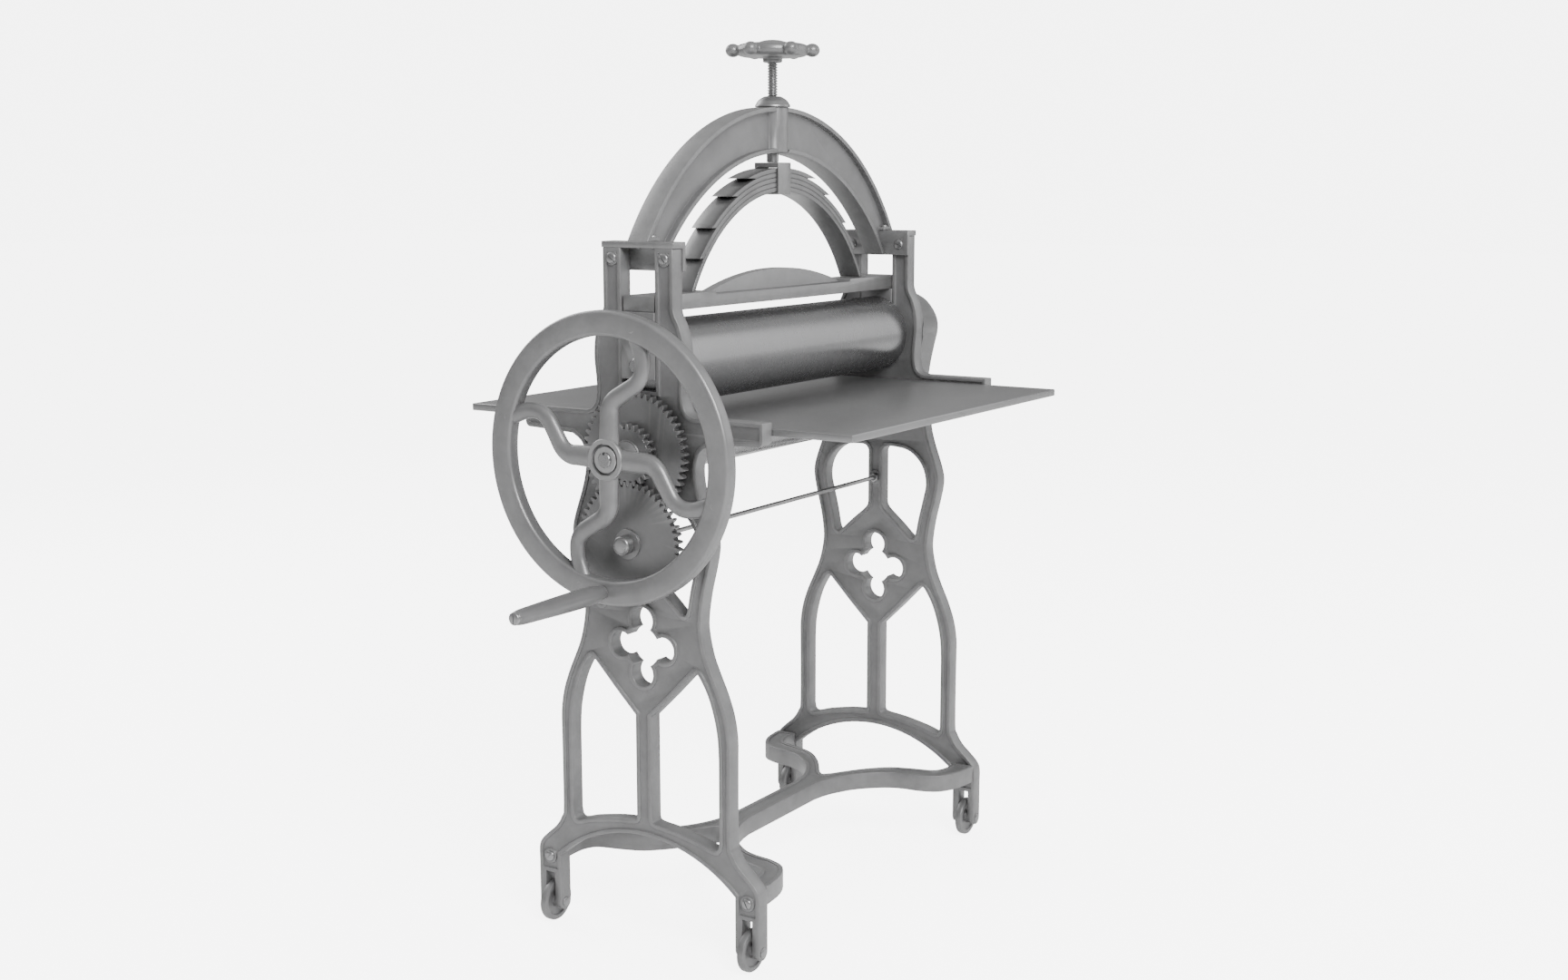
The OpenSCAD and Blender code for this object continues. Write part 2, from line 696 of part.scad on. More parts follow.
module handle_bolt() {
  color([0.6, 0.6, 0.6]) centred() translate([0, handle_y, handle_z]) difference() {
    union() {
      rod_x(-grip_end_x - 1, -rim_x, 6);
      rod_x(-reach_x, -grip_end_x - gap, 10);
    }
    translate([-reach_x - 1, -1, -11]) cube([2.6, 2, 22]);
  }
}
module handle_grip() {
  color([0.45, 0.45, 0.45]) centred() translate([-grip_x, handle_y, handle_z]) rotate([0, -90, 0])
  rotate_extrude($fn = 96) polygon(concat(
    [[6 + run, 0]],
    smooth([[9.5, 0], [9.5, 5], [11, 12], [grip_r - 1.2, 24], [grip_r, grip_l * 0.25],
      [grip_r - 0.4, grip_l * 0.45], [grip_r - 1.7, grip_l * 0.7], [grip_r - 2.6, grip_l * 0.88],
      [grip_r - 3.6, grip_l - 8], [grip_r - 6, grip_l]]),
    [[6 + run, grip_l]]));
}

module upper_roller() {
  color([0.65, 0.65, 0.65]) centred() translate([0, 0, upper_z]) {
    rod_x(-barrel_half, barrel_half, upper_r);
    rod_x(-outer_x - 10, outer_x - 2, journal_r);
  }
}

module bearing_block(x0, x1) {
  difference() {
    translate([x0, -slot_half + gap, block_low]) cube([x1 - x0, 2 * (slot_half - gap), bar_z - block_low]);
    translate([0, 0, upper_z]) rod_x(x0 - 1, x1 + 1, journal_r + run);
  }
}
module bearing_block_near() {
  color([0.6, 0.6, 0.6]) centred() bearing_block(-outer_x - 1.5, -inner_x + 1);
}
module bearing_block_far() {
  color([0.6, 0.6, 0.6]) centred() bearing_block(inner_x - 1, outer_x - 0.5);
}

hump_half = 213;
hump_h = 33;
hump_r = (hump_half * hump_half + hump_h * hump_h) / (2 * hump_h);
module crossbar() {
  color([0.55, 0.55, 0.55]) centred() {
    difference() {
      translate([-outer_x + 2, -bar_half, bar_z]) cube([2 * (outer_x - 2), 2 * bar_half, bar_t]);
      translate([-hump_half - 2, -bar_half - 1, bar_top - 5]) cube([2 * hump_half + 4, 2 * bar_half + 2, 6]);
    }
    plate_y(9) intersection() {
      translate([0, bar_top - 5 + hump_h - hump_r]) circle(r = hump_r, $fn = 360);
      translate([-hump_half, bar_top - 6]) square([2 * hump_half, hump_h + 2]);
    }
  }
}

module leaf(k) {
  r0 = leaf_r + (k - 1) * leaf_pitch;
  color([0.5, 0.5, 0.5]) centred() translate([0, 0, leaf_z]) plate_y(leaf_half) intersection() {
    ring_between(r0, r0 + leaf_t, 0, 0);
    translate([-leaf_r - 100, leaf_cut[k - 1]]) square([2 * leaf_r + 200, leaf_r + 100]);
  }
}
module leaf_1() { leaf(1); }
module leaf_2() { leaf(2); }
module leaf_3() { leaf(3); }
module leaf_4() { leaf(4); }
module leaf_5() { leaf(5); }

module spring_clamp() {
  low = leaf_z + leaf_r - 4.9;
  color([0.55, 0.55, 0.55]) centred() difference() {
    translate([-clamp_half, -leaf_half - 3.6, low]) cube([2 * clamp_half, 2 * leaf_half + 7.2, clamp_top - low]);
    translate([-clamp_half - 1, -leaf_half - gap, low + 4]) {
      cube([2 * clamp_half + 2, 2 * (leaf_half + gap), clamp_z - low - 4]);
    }
  }
}

module pressure_screw() {
  color([0.65, 0.65, 0.65]) centred() {
    translate([0, 0, clamp_top + gap]) cylinder(h = tip_top - clamp_top - gap, r = screw_r + 1.4, $fn = 64);
    translate([0, 0, tip_top - 1]) cylinder(h = star_low + 15 - tip_top, r = screw_r, $fn = 64);
  }
}
module star_handle() {
  color([0.45, 0.45, 0.45]) centred() difference() {
    union() {
      translate([0, 0, hub_low]) cylinder(h = star_low - hub_low + 1, r = 16.5, $fn = 64);
      translate([0, 0, star_low + 3]) cylinder(h = star_top - star_low - 6, r = star_r - 20, $fn = 96);
      translate([0, 0, star_low]) cylinder(h = star_top - star_low, r = 30, $fn = 96);
      translate([0, 0, star_top - 1]) cylinder(h = 7, r1 = 26, r2 = 8, $fn = 96);
      for (k = [0 : 5]) {
        rotate(60 * k) translate([star_r - 13, 0, (star_low + star_top) / 2]) sphere(r = 13, $fn = 48);
      }
    }
    translate([0, 0, hub_low - 1]) cylinder(h = star_low + 15 - hub_low + 1 + gap, r = screw_r + run, $fn = 64);
  }
}

side_frame_near();
side_frame_far();
caster_axles();
caster_near_front();
caster_near_back();
caster_far_front();
caster_far_back();
stretcher();
foot_screws();
tie_rod();
tie_rod_nuts();
cap_near();
cap_far();
cap_screws();
arch();
arch_bolts();
screw_nut();
lower_bushes();
bed();
lower_roller();
roller_gear();
shaft_collar();
back_gear_stud();
back_pinion();
back_gear();
handwheel_pinion();
handwheel();
handle_bolt();
handle_grip();
upper_roller();
bearing_block_near();
bearing_block_far();
crossbar();
leaf_1();
leaf_2();
leaf_3();
leaf_4();
leaf_5();
spring_clamp();
pressure_screw();
star_handle();
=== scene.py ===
"""Etching press: the finished looks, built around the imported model.

Every casting, shaft, spring and screw of the press is a piece of its own. Castings
take their shape from the frame's own nodes and get softened, cast edges. Turned
pieces are drawn ring by ring, as on a lathe.
"""

import json
import logging
import math
from dataclasses import dataclass, field
from enum import Enum
from typing import Callable, Iterable, Sequence, Union

import bmesh
import bpy
from mathutils import Matrix, Vector


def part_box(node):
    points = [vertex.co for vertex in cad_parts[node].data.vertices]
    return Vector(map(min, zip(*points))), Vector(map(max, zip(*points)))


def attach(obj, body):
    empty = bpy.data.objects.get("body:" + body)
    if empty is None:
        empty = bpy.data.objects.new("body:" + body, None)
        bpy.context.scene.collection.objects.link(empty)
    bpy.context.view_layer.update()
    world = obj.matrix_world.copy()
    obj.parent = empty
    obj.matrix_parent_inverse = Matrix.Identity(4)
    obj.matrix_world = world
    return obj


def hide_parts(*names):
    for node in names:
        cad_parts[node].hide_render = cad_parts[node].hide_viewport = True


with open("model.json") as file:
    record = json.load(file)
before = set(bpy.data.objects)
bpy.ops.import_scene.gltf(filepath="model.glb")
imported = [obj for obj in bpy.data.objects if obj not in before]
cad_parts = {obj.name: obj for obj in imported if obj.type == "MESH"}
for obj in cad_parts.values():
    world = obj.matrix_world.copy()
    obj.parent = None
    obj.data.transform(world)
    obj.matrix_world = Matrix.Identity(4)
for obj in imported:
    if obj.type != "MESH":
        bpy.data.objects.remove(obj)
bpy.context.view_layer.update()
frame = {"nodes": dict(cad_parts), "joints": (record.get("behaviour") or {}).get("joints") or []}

LOG = logging.getLogger("press")
MM = 0.001
Point = Sequence[float]


class Lay(Enum):
    """The way a surface was worked, which sets the run of its fine marks."""

    CAST = "cast"
    RINGS = "rings"
    LENGTH = "length"
    UPRIGHT = "upright"
    SMOOTH = "smooth"


class Along(Enum):
    """The axis that a turned piece lies on."""

    X = 0
    Y = 1
    Z = 2


# ---------------------------------------------------------------- shader maths


class Wire:
    """A shader socket that takes part in ordinary Python expressions."""

    def __init__(self, graph: "Graph", socket: bpy.types.NodeSocket) -> None:
        """Keeps the socket and the graph it belongs to."""
        self.graph = graph
        self.socket = socket

    def _maths(self, operation: str, *values: Union["Wire", float]) -> "Wire":
        """Adds one Math node.

        Args:
            operation: The Math node's operation.
            values: Its inputs, in order.

        Returns:
            The node's result.
        """
        inputs = {index: value for index, value in enumerate(values)}
        return self.graph.add("ShaderNodeMath", {"operation": operation}, inputs)

    def __add__(self, other: Union["Wire", float]) -> "Wire":
        """Sum."""
        return self._maths("ADD", self, other)

    __radd__ = __add__

    def __mul__(self, other: Union["Wire", float]) -> "Wire":
        """Product."""
        return self._maths("MULTIPLY", self, other)

    __rmul__ = __mul__

    def __sub__(self, other: Union["Wire", float]) -> "Wire":
        """Difference."""
        return self._maths("SUBTRACT", self, other)

    def __rsub__(self, other: float) -> "Wire":
        """Difference, the other way round."""
        return self._maths("SUBTRACT", other, self)

    def ramp(self, low: float, high: float) -> "Wire":
        """Spreads the stretch from low to high over 0 to 1.

        Args:
            low: The value that becomes 0.
            high: The value that becomes 1.

        Returns:
            The spread value, held between 0 and 1.
        """
        inputs = {"Value": self, "From Min": low, "From Max": high}
        return self.graph.add("ShaderNodeMapRange", {"clamp": True}, inputs, "Result")


class Graph:
    """The node graph of a material or of the studio's surround."""

    def __init__(self, owner: Union[bpy.types.Material, bpy.types.World]) -> None:
        """Empties the owner's node tree."""
        owner.use_nodes = True
        self.owner = owner
        self.tree = owner.node_tree
        self.tree.nodes.clear()

    @classmethod
    def principled(cls, name: str, wires: Callable[["Graph"], dict[str, object]]) -> bpy.types.Material:
        """Makes a material with one Principled shader.

        Args:
            name: The material's name.
            wires: Gives the shader's inputs, made in the new graph.

        Returns:
            The material.
        """
        graph = cls(bpy.data.materials.new(name))
        shader = graph.add("ShaderNodeBsdfPrincipled", {}, wires(graph), "BSDF")
        graph.add("ShaderNodeOutputMaterial", {}, {"Surface": shader}, None)
        return graph.owner

    def join(self, value: Union[Wire, float, Sequence[float]], socket: bpy.types.NodeSocket) -> None:
        """Links a wire to a socket, or sets the socket's own value."""
        if isinstance(value, Wire):
            self.tree.links.new(value.socket, socket)
        else:
            socket.default_value = value

    def add(
        self,
        kind: str,
        settings: dict[str, object],
        inputs: dict[Union[str, int], object],
        output: Union[str, int, None] = 0,
    ) -> Union[Wire, None]:
        """Adds a node of any kind.

        Args:
            kind: The node's type.
            settings: Its settings, set first.
            inputs: Values or wires for its sockets.
            output: The output to hand back, or None for a node that ends the graph.

        Returns:
            The chosen output as a wire.
        """
        node = self.tree.nodes.new(kind)
        for name, value in settings.items():
            setattr(node, name, value)
        for name, value in inputs.items():
            self.join(value, node.inputs[name])
        return None if output is None else Wire(self, node.outputs[output])

    def place(self, stretch: Point) -> Wire:
        """Object coordinates in metres, stretched along the axes.

        Args:
            stretch: The scale along X, Y and Z.

        Returns:
            The stretched position.
        """
        spot = self.add("ShaderNodeTexCoord", {}, {}, "Object")
        return self.add("ShaderNodeMapping", {"vector_type": "POINT"}, {"Vector": spot, "Scale": stretch})

    def noise(self, stretch: Point, scale: float, detail: float = 3.0, rough: float = 0.55) -> Wire:
        """Smooth noise over the surface.

        Args:
            stretch: The scale of the position along each axis.
            scale: Features per metre.
            detail: Octaves of finer noise.
            rough: Strength of the finer octaves.

        Returns:
            A value around one half.
        """
        inputs = {"Vector": self.place(stretch), "Scale": scale, "Detail": detail, "Roughness": rough}
        return self.add("ShaderNodeTexNoise", {"noise_dimensions": "3D"}, inputs, "Fac")

    def blend(self, factor: Wire, first: object, second: object) -> Wire:
        """Mixes two colours.

        Args:
            factor: 0 shows the first colour, 1 the second.
            first: A colour, or a wire that carries one.
            second: Another.

        Returns:
            The mixed colour.
        """
        inputs = {6: first, 7: second, 0: factor}
        return self.add("ShaderNodeMix", {"data_type": "RGBA", "blend_type": "MIX"}, inputs, 2)


MARKS: dict[Lay, tuple[Point, float]] = {
    Lay.CAST: ((1.0, 1.0, 1.0), 900.0),
    Lay.RINGS: ((1.0, 0.02, 0.02), 70.0),
    Lay.LENGTH: ((0.03, 1.0, 0.6), 700.0),
    Lay.UPRIGHT: ((0.02, 0.02, 1.0), 2600.0),
    Lay.SMOOTH: ((1.0, 1.0, 1.0), 240.0),
}


@dataclass(frozen=True)
class Finish:
    """One metal finish: its tone, its shine and the marks that working left."""

    name: str
    tone: float
    metal: float
    gloss: float
    lay: Lay
    mottle: float = 0.12
    grain: float = 0.25
    depth: float = 0.00012
    wear: float = 0.0

    def wires(self, graph: Graph) -> dict[str, object]:
        """Works out the shader's inputs.

        Args:
            graph: The graph that holds the nodes.

        Returns:
            A value or a wire for each input that isn't left alone.
        """
        stretch, scale = MARKS[self.lay]
        marks = graph.noise(stretch, scale, 2.0)
        cloud = graph.noise((1.0, 1.0, 1.0), 9.0, 4.0)
        patch = graph.noise((1.0, 1.0, 1.0), 38.0, 3.0)
        shade = (cloud * 0.6 + patch * 0.4).ramp(0.36, 0.64)
        low = self.tone * (1.0 - self.mottle)
        high = self.tone * (1.0 + self.mottle)
        colour = graph.blend(shade, (low, low, low * 1.01, 1.0), (high, high, high * 1.01, 1.0))
        if self.wear > 0.0:
            edge = graph.add("ShaderNodeNewGeometry", {}, {}, "Pointiness").ramp(0.51, 0.58)
            rubbed = (edge * patch * (2.0 * self.wear)).ramp(0.0, 1.0)
            bright = self.tone * 1.9
            colour = graph.blend(rubbed, colour, (bright, bright, bright, 1.0))
        height = marks * 0.7 + patch * 0.3
        inputs = {"Height": height, "Strength": self.grain, "Distance": self.depth}
        return {
            "Base Color": colour,
            "Metallic": self.metal,
            "Roughness": self.gloss + (marks - 0.5) * (self.grain * 0.4) + (patch - 0.5) * self.mottle,
            "Normal": graph.add("ShaderNodeBump", {}, inputs, "Normal"),
        }

    def build(self) -> bpy.types.Material:
        """Makes the material of this finish."""
        return Graph.principled(self.name, self.wires)


class Finishes:
    """The finishes of the press, each made once."""

    def __init__(self) -> None:
        """Makes every material."""
        self.casting = Finish("grey_casting", 0.135, 0.35, 0.42, Lay.CAST, 0.12, 0.5, 0.0002, 0.35).build()
        self.wheel = Finish("wheel_casting", 0.15, 0.4, 0.36, Lay.CAST, 0.10, 0.35, 0.00015, 0.4).build()
        self.machined = Finish("machined_iron", 0.17, 0.6, 0.36, Lay.LENGTH, 0.10, 0.3, 0.00008, 0.25).build()
        self.gear = Finish("gear_iron", 0.16, 0.6, 0.38, Lay.CAST, 0.08, 0.3, 0.0001, 0.3).build()
        self.ground = Finish("ground_bed", 0.22, 0.75, 0.36, Lay.LENGTH, 0.05, 0.25, 0.00004).build()
        self.turned = Finish("turned_steel", 0.21, 0.85, 0.27, Lay.RINGS, 0.04, 0.12, 0.00002).build()
        self.upright = Finish("screw_steel", 0.24, 0.85, 0.3, Lay.UPRIGHT, 0.06, 0.15, 0.00003).build()
        self.spring = Finish("spring_steel", 0.14, 0.7, 0.34, Lay.LENGTH, 0.12, 0.25, 0.00006, 0.2).build()
        self.small = Finish("screw_heads", 0.22, 0.8, 0.3, Lay.SMOOTH, 0.08, 0.2, 0.00005, 0.3).build()
        self.grip = Finish("grip_enamel", 0.12, 0.15, 0.3, Lay.SMOOTH, 0.06, 0.12, 0.0001).build()
        self.caster = Finish("caster_iron", 0.13, 0.45, 0.42, Lay.CAST, 0.12, 0.4, 0.00015, 0.3).build()


# ------------------------------------------------------------------- modelling


class Bench:
    """Modelling moves shared by all the pieces, made as by hand in edit mode."""

    @staticmethod
    def clear() -> None:
        """Leaves edit mode and deselects everything."""
        if bpy.context.object and bpy.context.object.mode != "OBJECT":
            bpy.ops.object.mode_set(mode="OBJECT")
        bpy.ops.object.select_all(action="DESELECT")

    @staticmethod
    def take(piece: bpy.types.Object) -> None:
        """Makes one piece the only selected and active one."""
        Bench.clear()
        piece.select_set(True)
        bpy.context.view_layer.objects.active = piece

    @staticmethod
    def settle(piece: bpy.types.Object, name: str, smooth: float = 35.0) -> bpy.types.Object:
        """Closes a piece's seams, turns its faces outwards and puts its place in its mesh.

        Args:
            piece: The piece.
            name: Its name.
            smooth: Edges sharper than this many degrees stay sharp.

        Returns:
            The same piece.
        """
        Bench.take(piece)
        bpy.ops.object.transform_apply(location=True, rotation=True, scale=True)
        bpy.ops.object.mode_set(mode="EDIT")
        bpy.ops.mesh.select_all(action="SELECT")
        bpy.ops.mesh.remove_doubles(threshold=0.00002)
        bpy.ops.mesh.normals_make_consistent(inside=False)
        bpy.ops.object.mode_set(mode="OBJECT")
        bpy.ops.object.shade_smooth_by_angle(angle=math.radians(smooth))
        piece.name = name
        piece.data.name = name
        return piece

    @staticmethod
    def modify(piece: bpy.types.Object, kind: str, **settings: object) -> None:
        """Adds a modifier and applies it.

        Args:
            piece: The piece.
            kind: The modifier's type.
            settings: The modifier's settings.
        """
        Bench.take(piece)
        modifier = piece.modifiers.new(kind.title(), kind)
        for key, value in settings.items():
            setattr(modifier, key, value)
        bpy.ops.object.modifier_apply(modifier=modifier.name)

    @staticmethod
    def casting(
        name: str,
        node: str,
        soften: float,
        steps: int = 2,
        weld: float = 0.0003,
        along: Along = Along.Z,
        pitch: float = 50.0 * MM,
        smooth: float = 40.0,
    ) -> bpy.types.Object:
        """Copies a node's shape, joins its facets into clean faces and rounds its edges.

        The flat faces are first divided by seams, so that no face runs around a hole.

        Args:
            name: The new piece's name.
            node: The frame node to start from.
            soften: Width of the rounded edges, in metres.
            steps: Segments across each rounded edge.
            weld: Points closer than this become one.
            along: The axis that the seams cross.
            pitch: Distance from seam to seam.
            smooth: Edges sharper than this many degrees stay sharp.

        Returns:
            The new piece.
        """
        source = frame["nodes"][node]
        piece = bpy.data.objects.new(name, source.data.copy())
        bpy.context.scene.collection.objects.link(piece)
        piece.data.materials.clear()
        Bench.take(piece)
        bpy.ops.object.mode_set(mode="EDIT")
        bpy.ops.mesh.select_all(action="SELECT")
        bpy.ops.mesh.remove_doubles(threshold=weld)
        low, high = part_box(node)
        reach = high[along.value] - low[along.value]
        count = max(1, round(reach / pitch))
        facing = [float(axis is along) for axis in Along]
        for index in range(count):
            spot = low[along.value] + reach * (index + 0.53) / count
            bpy.ops.mesh.select_all(action="SELECT")
            bpy.ops.mesh.bisect(plane_co=[spot * part for part in facing], plane_no=facing, threshold=1e-6)
            bpy.ops.mesh.mark_seam()
        bpy.ops.mesh.select_all(action="SELECT")
        bpy.ops.mesh.dissolve_limited(angle_limit=math.radians(0.6), delimit={"SEAM"})
        bpy.ops.object.mode_set(mode="OBJECT")
        Bench.modify(
            piece, "BEVEL", width=soften, segments=steps, limit_method="ANGLE", loop_slide=False,
            angle_limit=math.radians(32.0), use_clamp_overlap=False,
        )
        return Bench.settle(piece, name, smooth)

    @staticmethod
    def lay_down(piece: bpy.types.Object, along: Along, centre: Point) -> None:
        """Turns an upright piece onto its axis and moves it to its place.

        Args:
            piece: The piece, standing along Z at the origin.
            along: The axis it should lie on.
            centre: Where its starting point goes.
        """
        if along is Along.X:
            piece.rotation_euler = (0.0, math.radians(90.0), 0.0)
        elif along is Along.Y:
            piece.rotation_euler = (math.radians(-90.0), 0.0, 0.0)
        piece.location = centre

    @staticmethod
    def turned(
        name: str,
        profile: Sequence[tuple[float, float]],
        along: Along,
        centre: Point,
        count: int = 64,
        smooth: float = 35.0,
    ) -> bpy.types.Object:
        """Turns a solid piece: a disc is drawn out ring by ring along its axis.

        Args:
            name: The piece's name.
            profile: Distance along the axis and radius of each ring, in metres.
            along: The axis it lies on.
            centre: The point that the distances are counted from.
            count: Points around each ring.
            smooth: Edges sharper than this many degrees stay sharp.

        Returns:
            The new piece.
        """
        Bench.clear()
        start, radius = profile[0]
        bpy.ops.mesh.primitive_circle_add(
            vertices=count, radius=radius, fill_type="NGON", location=(0.0, 0.0, start)
        )
        piece = bpy.context.object
        bpy.ops.object.transform_apply(location=True)
        bpy.ops.object.mode_set(mode="EDIT")
        bpy.ops.mesh.select_all(action="SELECT")
        here, size = start, radius
        for distance, ring in profile[1:]:
            bpy.ops.mesh.extrude_region_move(TRANSFORM_OT_translate={"value": (0.0, 0.0, distance - here)})
            factor = ring / size
            bpy.ops.transform.resize(value=(factor, factor, 1.0), center_override=(0.0, 0.0, distance))
            here, size = distance, ring
        bpy.ops.object.mode_set(mode="OBJECT")
        Bench.lay_down(piece, along, centre)
        return Bench.settle(piece, name, smooth)

    @staticmethod
    def spun(
        name: str,
        outline: Sequence[tuple[float, float]],
        along: Along,
        centre: Point,
        count: int = 96,
        smooth: float = 35.0,
    ) -> bpy.types.Object:
        """Spins a closed outline once around an axis, for a piece with a hole through it.

        Args:
            name: The piece's name.
            outline: Distance along the axis and radius of each corner, in metres.
            along: The axis it turns about.
            centre: The point that the distances are counted from.
            count: Steps of the spin.
            smooth: Edges sharper than this many degrees stay sharp.

        Returns:
            The new piece.
        """
        Bench.clear()
        bpy.ops.mesh.primitive_circle_add(vertices=len(outline), radius=1.0, fill_type="NOTHING")
        piece = bpy.context.object
        for vertex, (distance, radius) in zip(piece.data.vertices, outline):
            vertex.co = (radius, 0.0, distance)
        bpy.ops.object.mode_set(mode="EDIT")
        bpy.ops.mesh.select_all(action="SELECT")
        bpy.ops.mesh.spin(steps=count, angle=math.tau, center=(0.0, 0.0, 0.0), axis=(0.0, 0.0, 1.0))
        bpy.ops.object.mode_set(mode="OBJECT")
        Bench.lay_down(piece, along, centre)
        return Bench.settle(piece, name, smooth)

    @staticmethod
    def drawn(name: str, path: Sequence[Vector], radii: Sequence[float], count: int = 20) -> bpy.types.Object:
        """Draws a round bar along a path that lies in one upright plane across X.

        Args:
            name: The piece's name.
            path: The middle of the bar, point by point.
            radii: The bar's radius at each point.
            count: Points around the bar.

        Returns:
            The new piece, closed at both ends.
        """
        def heading(index: int) -> float:
            """The path's direction at a point, as an angle about X."""
            step = path[min(index + 1, len(path) - 1)] - path[max(index - 1, 0)]
            return math.atan2(-step.y, step.z)

        Bench.clear()
        bpy.ops.mesh.primitive_circle_add(vertices=count, radius=radii[0], fill_type="NGON", location=path[0])
        piece = bpy.context.object
        piece.rotation_euler = (heading(0), 0.0, 0.0)
        bpy.ops.object.transform_apply(location=True, rotation=True)
        bpy.ops.object.mode_set(mode="EDIT")
        bpy.ops.mesh.select_all(action="SELECT")
        for index in range(1, len(path)):
            step = path[index] - path[index - 1]
            bpy.ops.mesh.extrude_region_move(TRANSFORM_OT_translate={"value": step})
            turn = heading(index) - heading(index - 1)
            turn = (turn + math.pi) % math.tau - math.pi
            bpy.ops.transform.rotate(value=-turn, orient_axis="X", center_override=path[index])
            factor = radii[index] / radii[index - 1]
            bpy.ops.transform.resize(value=(factor, factor, factor), center_override=path[index])
        bpy.ops.object.mode_set(mode="OBJECT")
        return Bench.settle(piece, name, 50.0)

    @staticmethod
    def block(name: str, low: Point, high: Point, soften: float, steps: int = 2) -> bpy.types.Object:
        """Makes a block between two corners with rounded edges.

        Args:
            name: The piece's name.
            low: Its lowest corner.
            high: Its highest corner.
            soften: Width of the rounded edges.
            steps: Segments across each rounded edge.

        Returns:
            The new piece.
        """
        Bench.clear()
        middle = [(a + b) / 2.0 for a, b in zip(low, high)]
        bpy.ops.mesh.primitive_cube_add(size=1.0, location=middle, scale=[b - a for a, b in zip(low, high)])
        piece = bpy.context.object
        bpy.ops.object.transform_apply(location=True, scale=True)
        bpy.ops.object.mode_set(mode="EDIT")
        bpy.ops.mesh.select_all(action="SELECT")
        bpy.ops.mesh.bevel(offset=soften, segments=steps, affect="EDGES")
        bpy.ops.object.mode_set(mode="OBJECT")
        return Bench.settle(piece, name)

    @staticmethod
    def carve(piece: bpy.types.Object, tool: bpy.types.Object) -> None:
        """Cuts a tool's shape out of a piece and throws the tool away."""
        Bench.modify(piece, "BOOLEAN", object=tool, operation="DIFFERENCE", solver="EXACT")
        bpy.data.objects.remove(tool)

    @staticmethod
    def gather(pieces: Sequence[bpy.types.Object], name: str) -> bpy.types.Object:
        """Joins loose shapes into one piece.

        Args:
            pieces: The shapes.
            name: The joined piece's name.

        Returns:
            The joined piece.
        """
        Bench.take(pieces[0])
        for piece in pieces:
            piece.select_set(True)
        if len(pieces) > 1:
            bpy.ops.object.join()
        joined = bpy.context.object
        joined.name = name
        joined.data.name = name
        return joined

    @staticmethod
    def dress(
        piece: bpy.types.Object,
        finish: bpy.types.Material,
        body: str,
        slot: str,
        nodes: Iterable[str] = (),
    ) -> bpy.types.Object:
        """Gives a piece its finish and its place in the press.

        Args:
            piece: The piece.
            finish: Its material.
            body: The moving body that it rides on.
            slot: The record's material slot; not used.
            nodes: The frame nodes that it stands for.

        Returns:
            The same piece.
        """
        piece.data.materials.clear()
        piece.data.materials.append(finish)
        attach(piece, body)
        if nodes:
            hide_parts(*nodes)
        LOG.info("%s: %d faces on %s", piece.name, len(piece.data.polygons), body)
        return piece


def in_metres(pairs: Sequence[tuple[float, float]]) -> list[tuple[float, float]]:
    """Turns pairs of millimetres into metres."""
    return [(distance * MM, radius * MM) for distance, radius in pairs]


def middle_of(node: str) -> Vector:
    """The middle of a frame node's box."""
    low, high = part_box(node)
    return (low + high) / 2.0


def joint_spot(name: str) -> Vector:
    """The point that a joint turns about."""
    for joint in frame["joints"]:
        if joint["name"] == name:
            return Vector(joint["pos_m"])
    raise KeyError(name)


def curve_points(points: Sequence[Point], steps: int) -> list[Vector]:
    """Draws a smooth curve through given points.

    Args:
        points: The points to pass through.
        steps: Points from each one to the next.

    Returns:
        The points of the curve.
    """
    knots = [Vector(p) for p in points]
    curve: list[Vector] = []
    for index in range(len(knots) - 1):
        a = knots[max(index - 1, 0)]
        b, c = knots[index], knots[index + 1]
        d = knots[min(index + 2, len(knots) - 1)]
        for step in range(steps):
            t = step / steps
            curve.append(
                0.5 * (2 * b + (c - a) * t + (2 * a - 5 * b + 4 * c - d) * t * t
                       + (3 * b - a - 3 * c + d) * t * t * t)
            )
    curve.append(knots[-1])
    return curve


# ---------------------------------------------------------------------- pieces


@dataclass
class Castings:
    """The cast and cut pieces whose shape the frame already holds."""

    finishes: Finishes
    frame_edge: float = 1.0 * MM
    bow_edge: float = 0.8 * MM
    plate_edge: float = 1.0 * MM
    leaf_edge: float = 0.8 * MM

    def build(self) -> None:
        """Builds every casting and cut piece."""
        f = self.finishes
        up, across = Along.Z, Along.X
        plan = [
            ("side_frame_near", self.frame_edge, up, 50.0, f.casting, "frame", "frame_iron"),
            ("side_frame_far", self.frame_edge, up, 50.0, f.casting, "frame", "frame_iron"),
            ("stretcher", self.bow_edge, across, 60.0, f.casting, "frame", "frame_iron"),
            ("arch", self.bow_edge, across, 800.0, f.casting, "frame", "frame_iron"),
            ("cap_near", self.plate_edge, Along.Y, 200.0, f.machined, "frame", "machined_iron"),
            ("cap_far", self.plate_edge, Along.Y, 200.0, f.machined, "frame", "machined_iron"),
            ("crossbar", self.plate_edge, across, 800.0, f.machined, "head", "machined_iron"),
            ("bearing_block_near", self.plate_edge, up, 200.0, f.machined, "head", "machined_iron"),
            ("bearing_block_far", self.plate_edge, up, 200.0, f.machined, "head", "machined_iron"),
            ("spring_clamp", self.plate_edge, across, 200.0, f.machined, "head", "machined_iron"),
        ]
        plan += [
            (f"leaf_{k}", self.leaf_edge, across, 800.0, f.spring, "head", "spring_steel")
            for k in range(1, 6)
        ]
        for node, soften, along, pitch, finish, body, slot in plan:
            piece = Bench.casting(f"{node}_cast", node, soften, along=along, pitch=pitch * MM)
            Bench.dress(piece, finish, body, slot, [node])


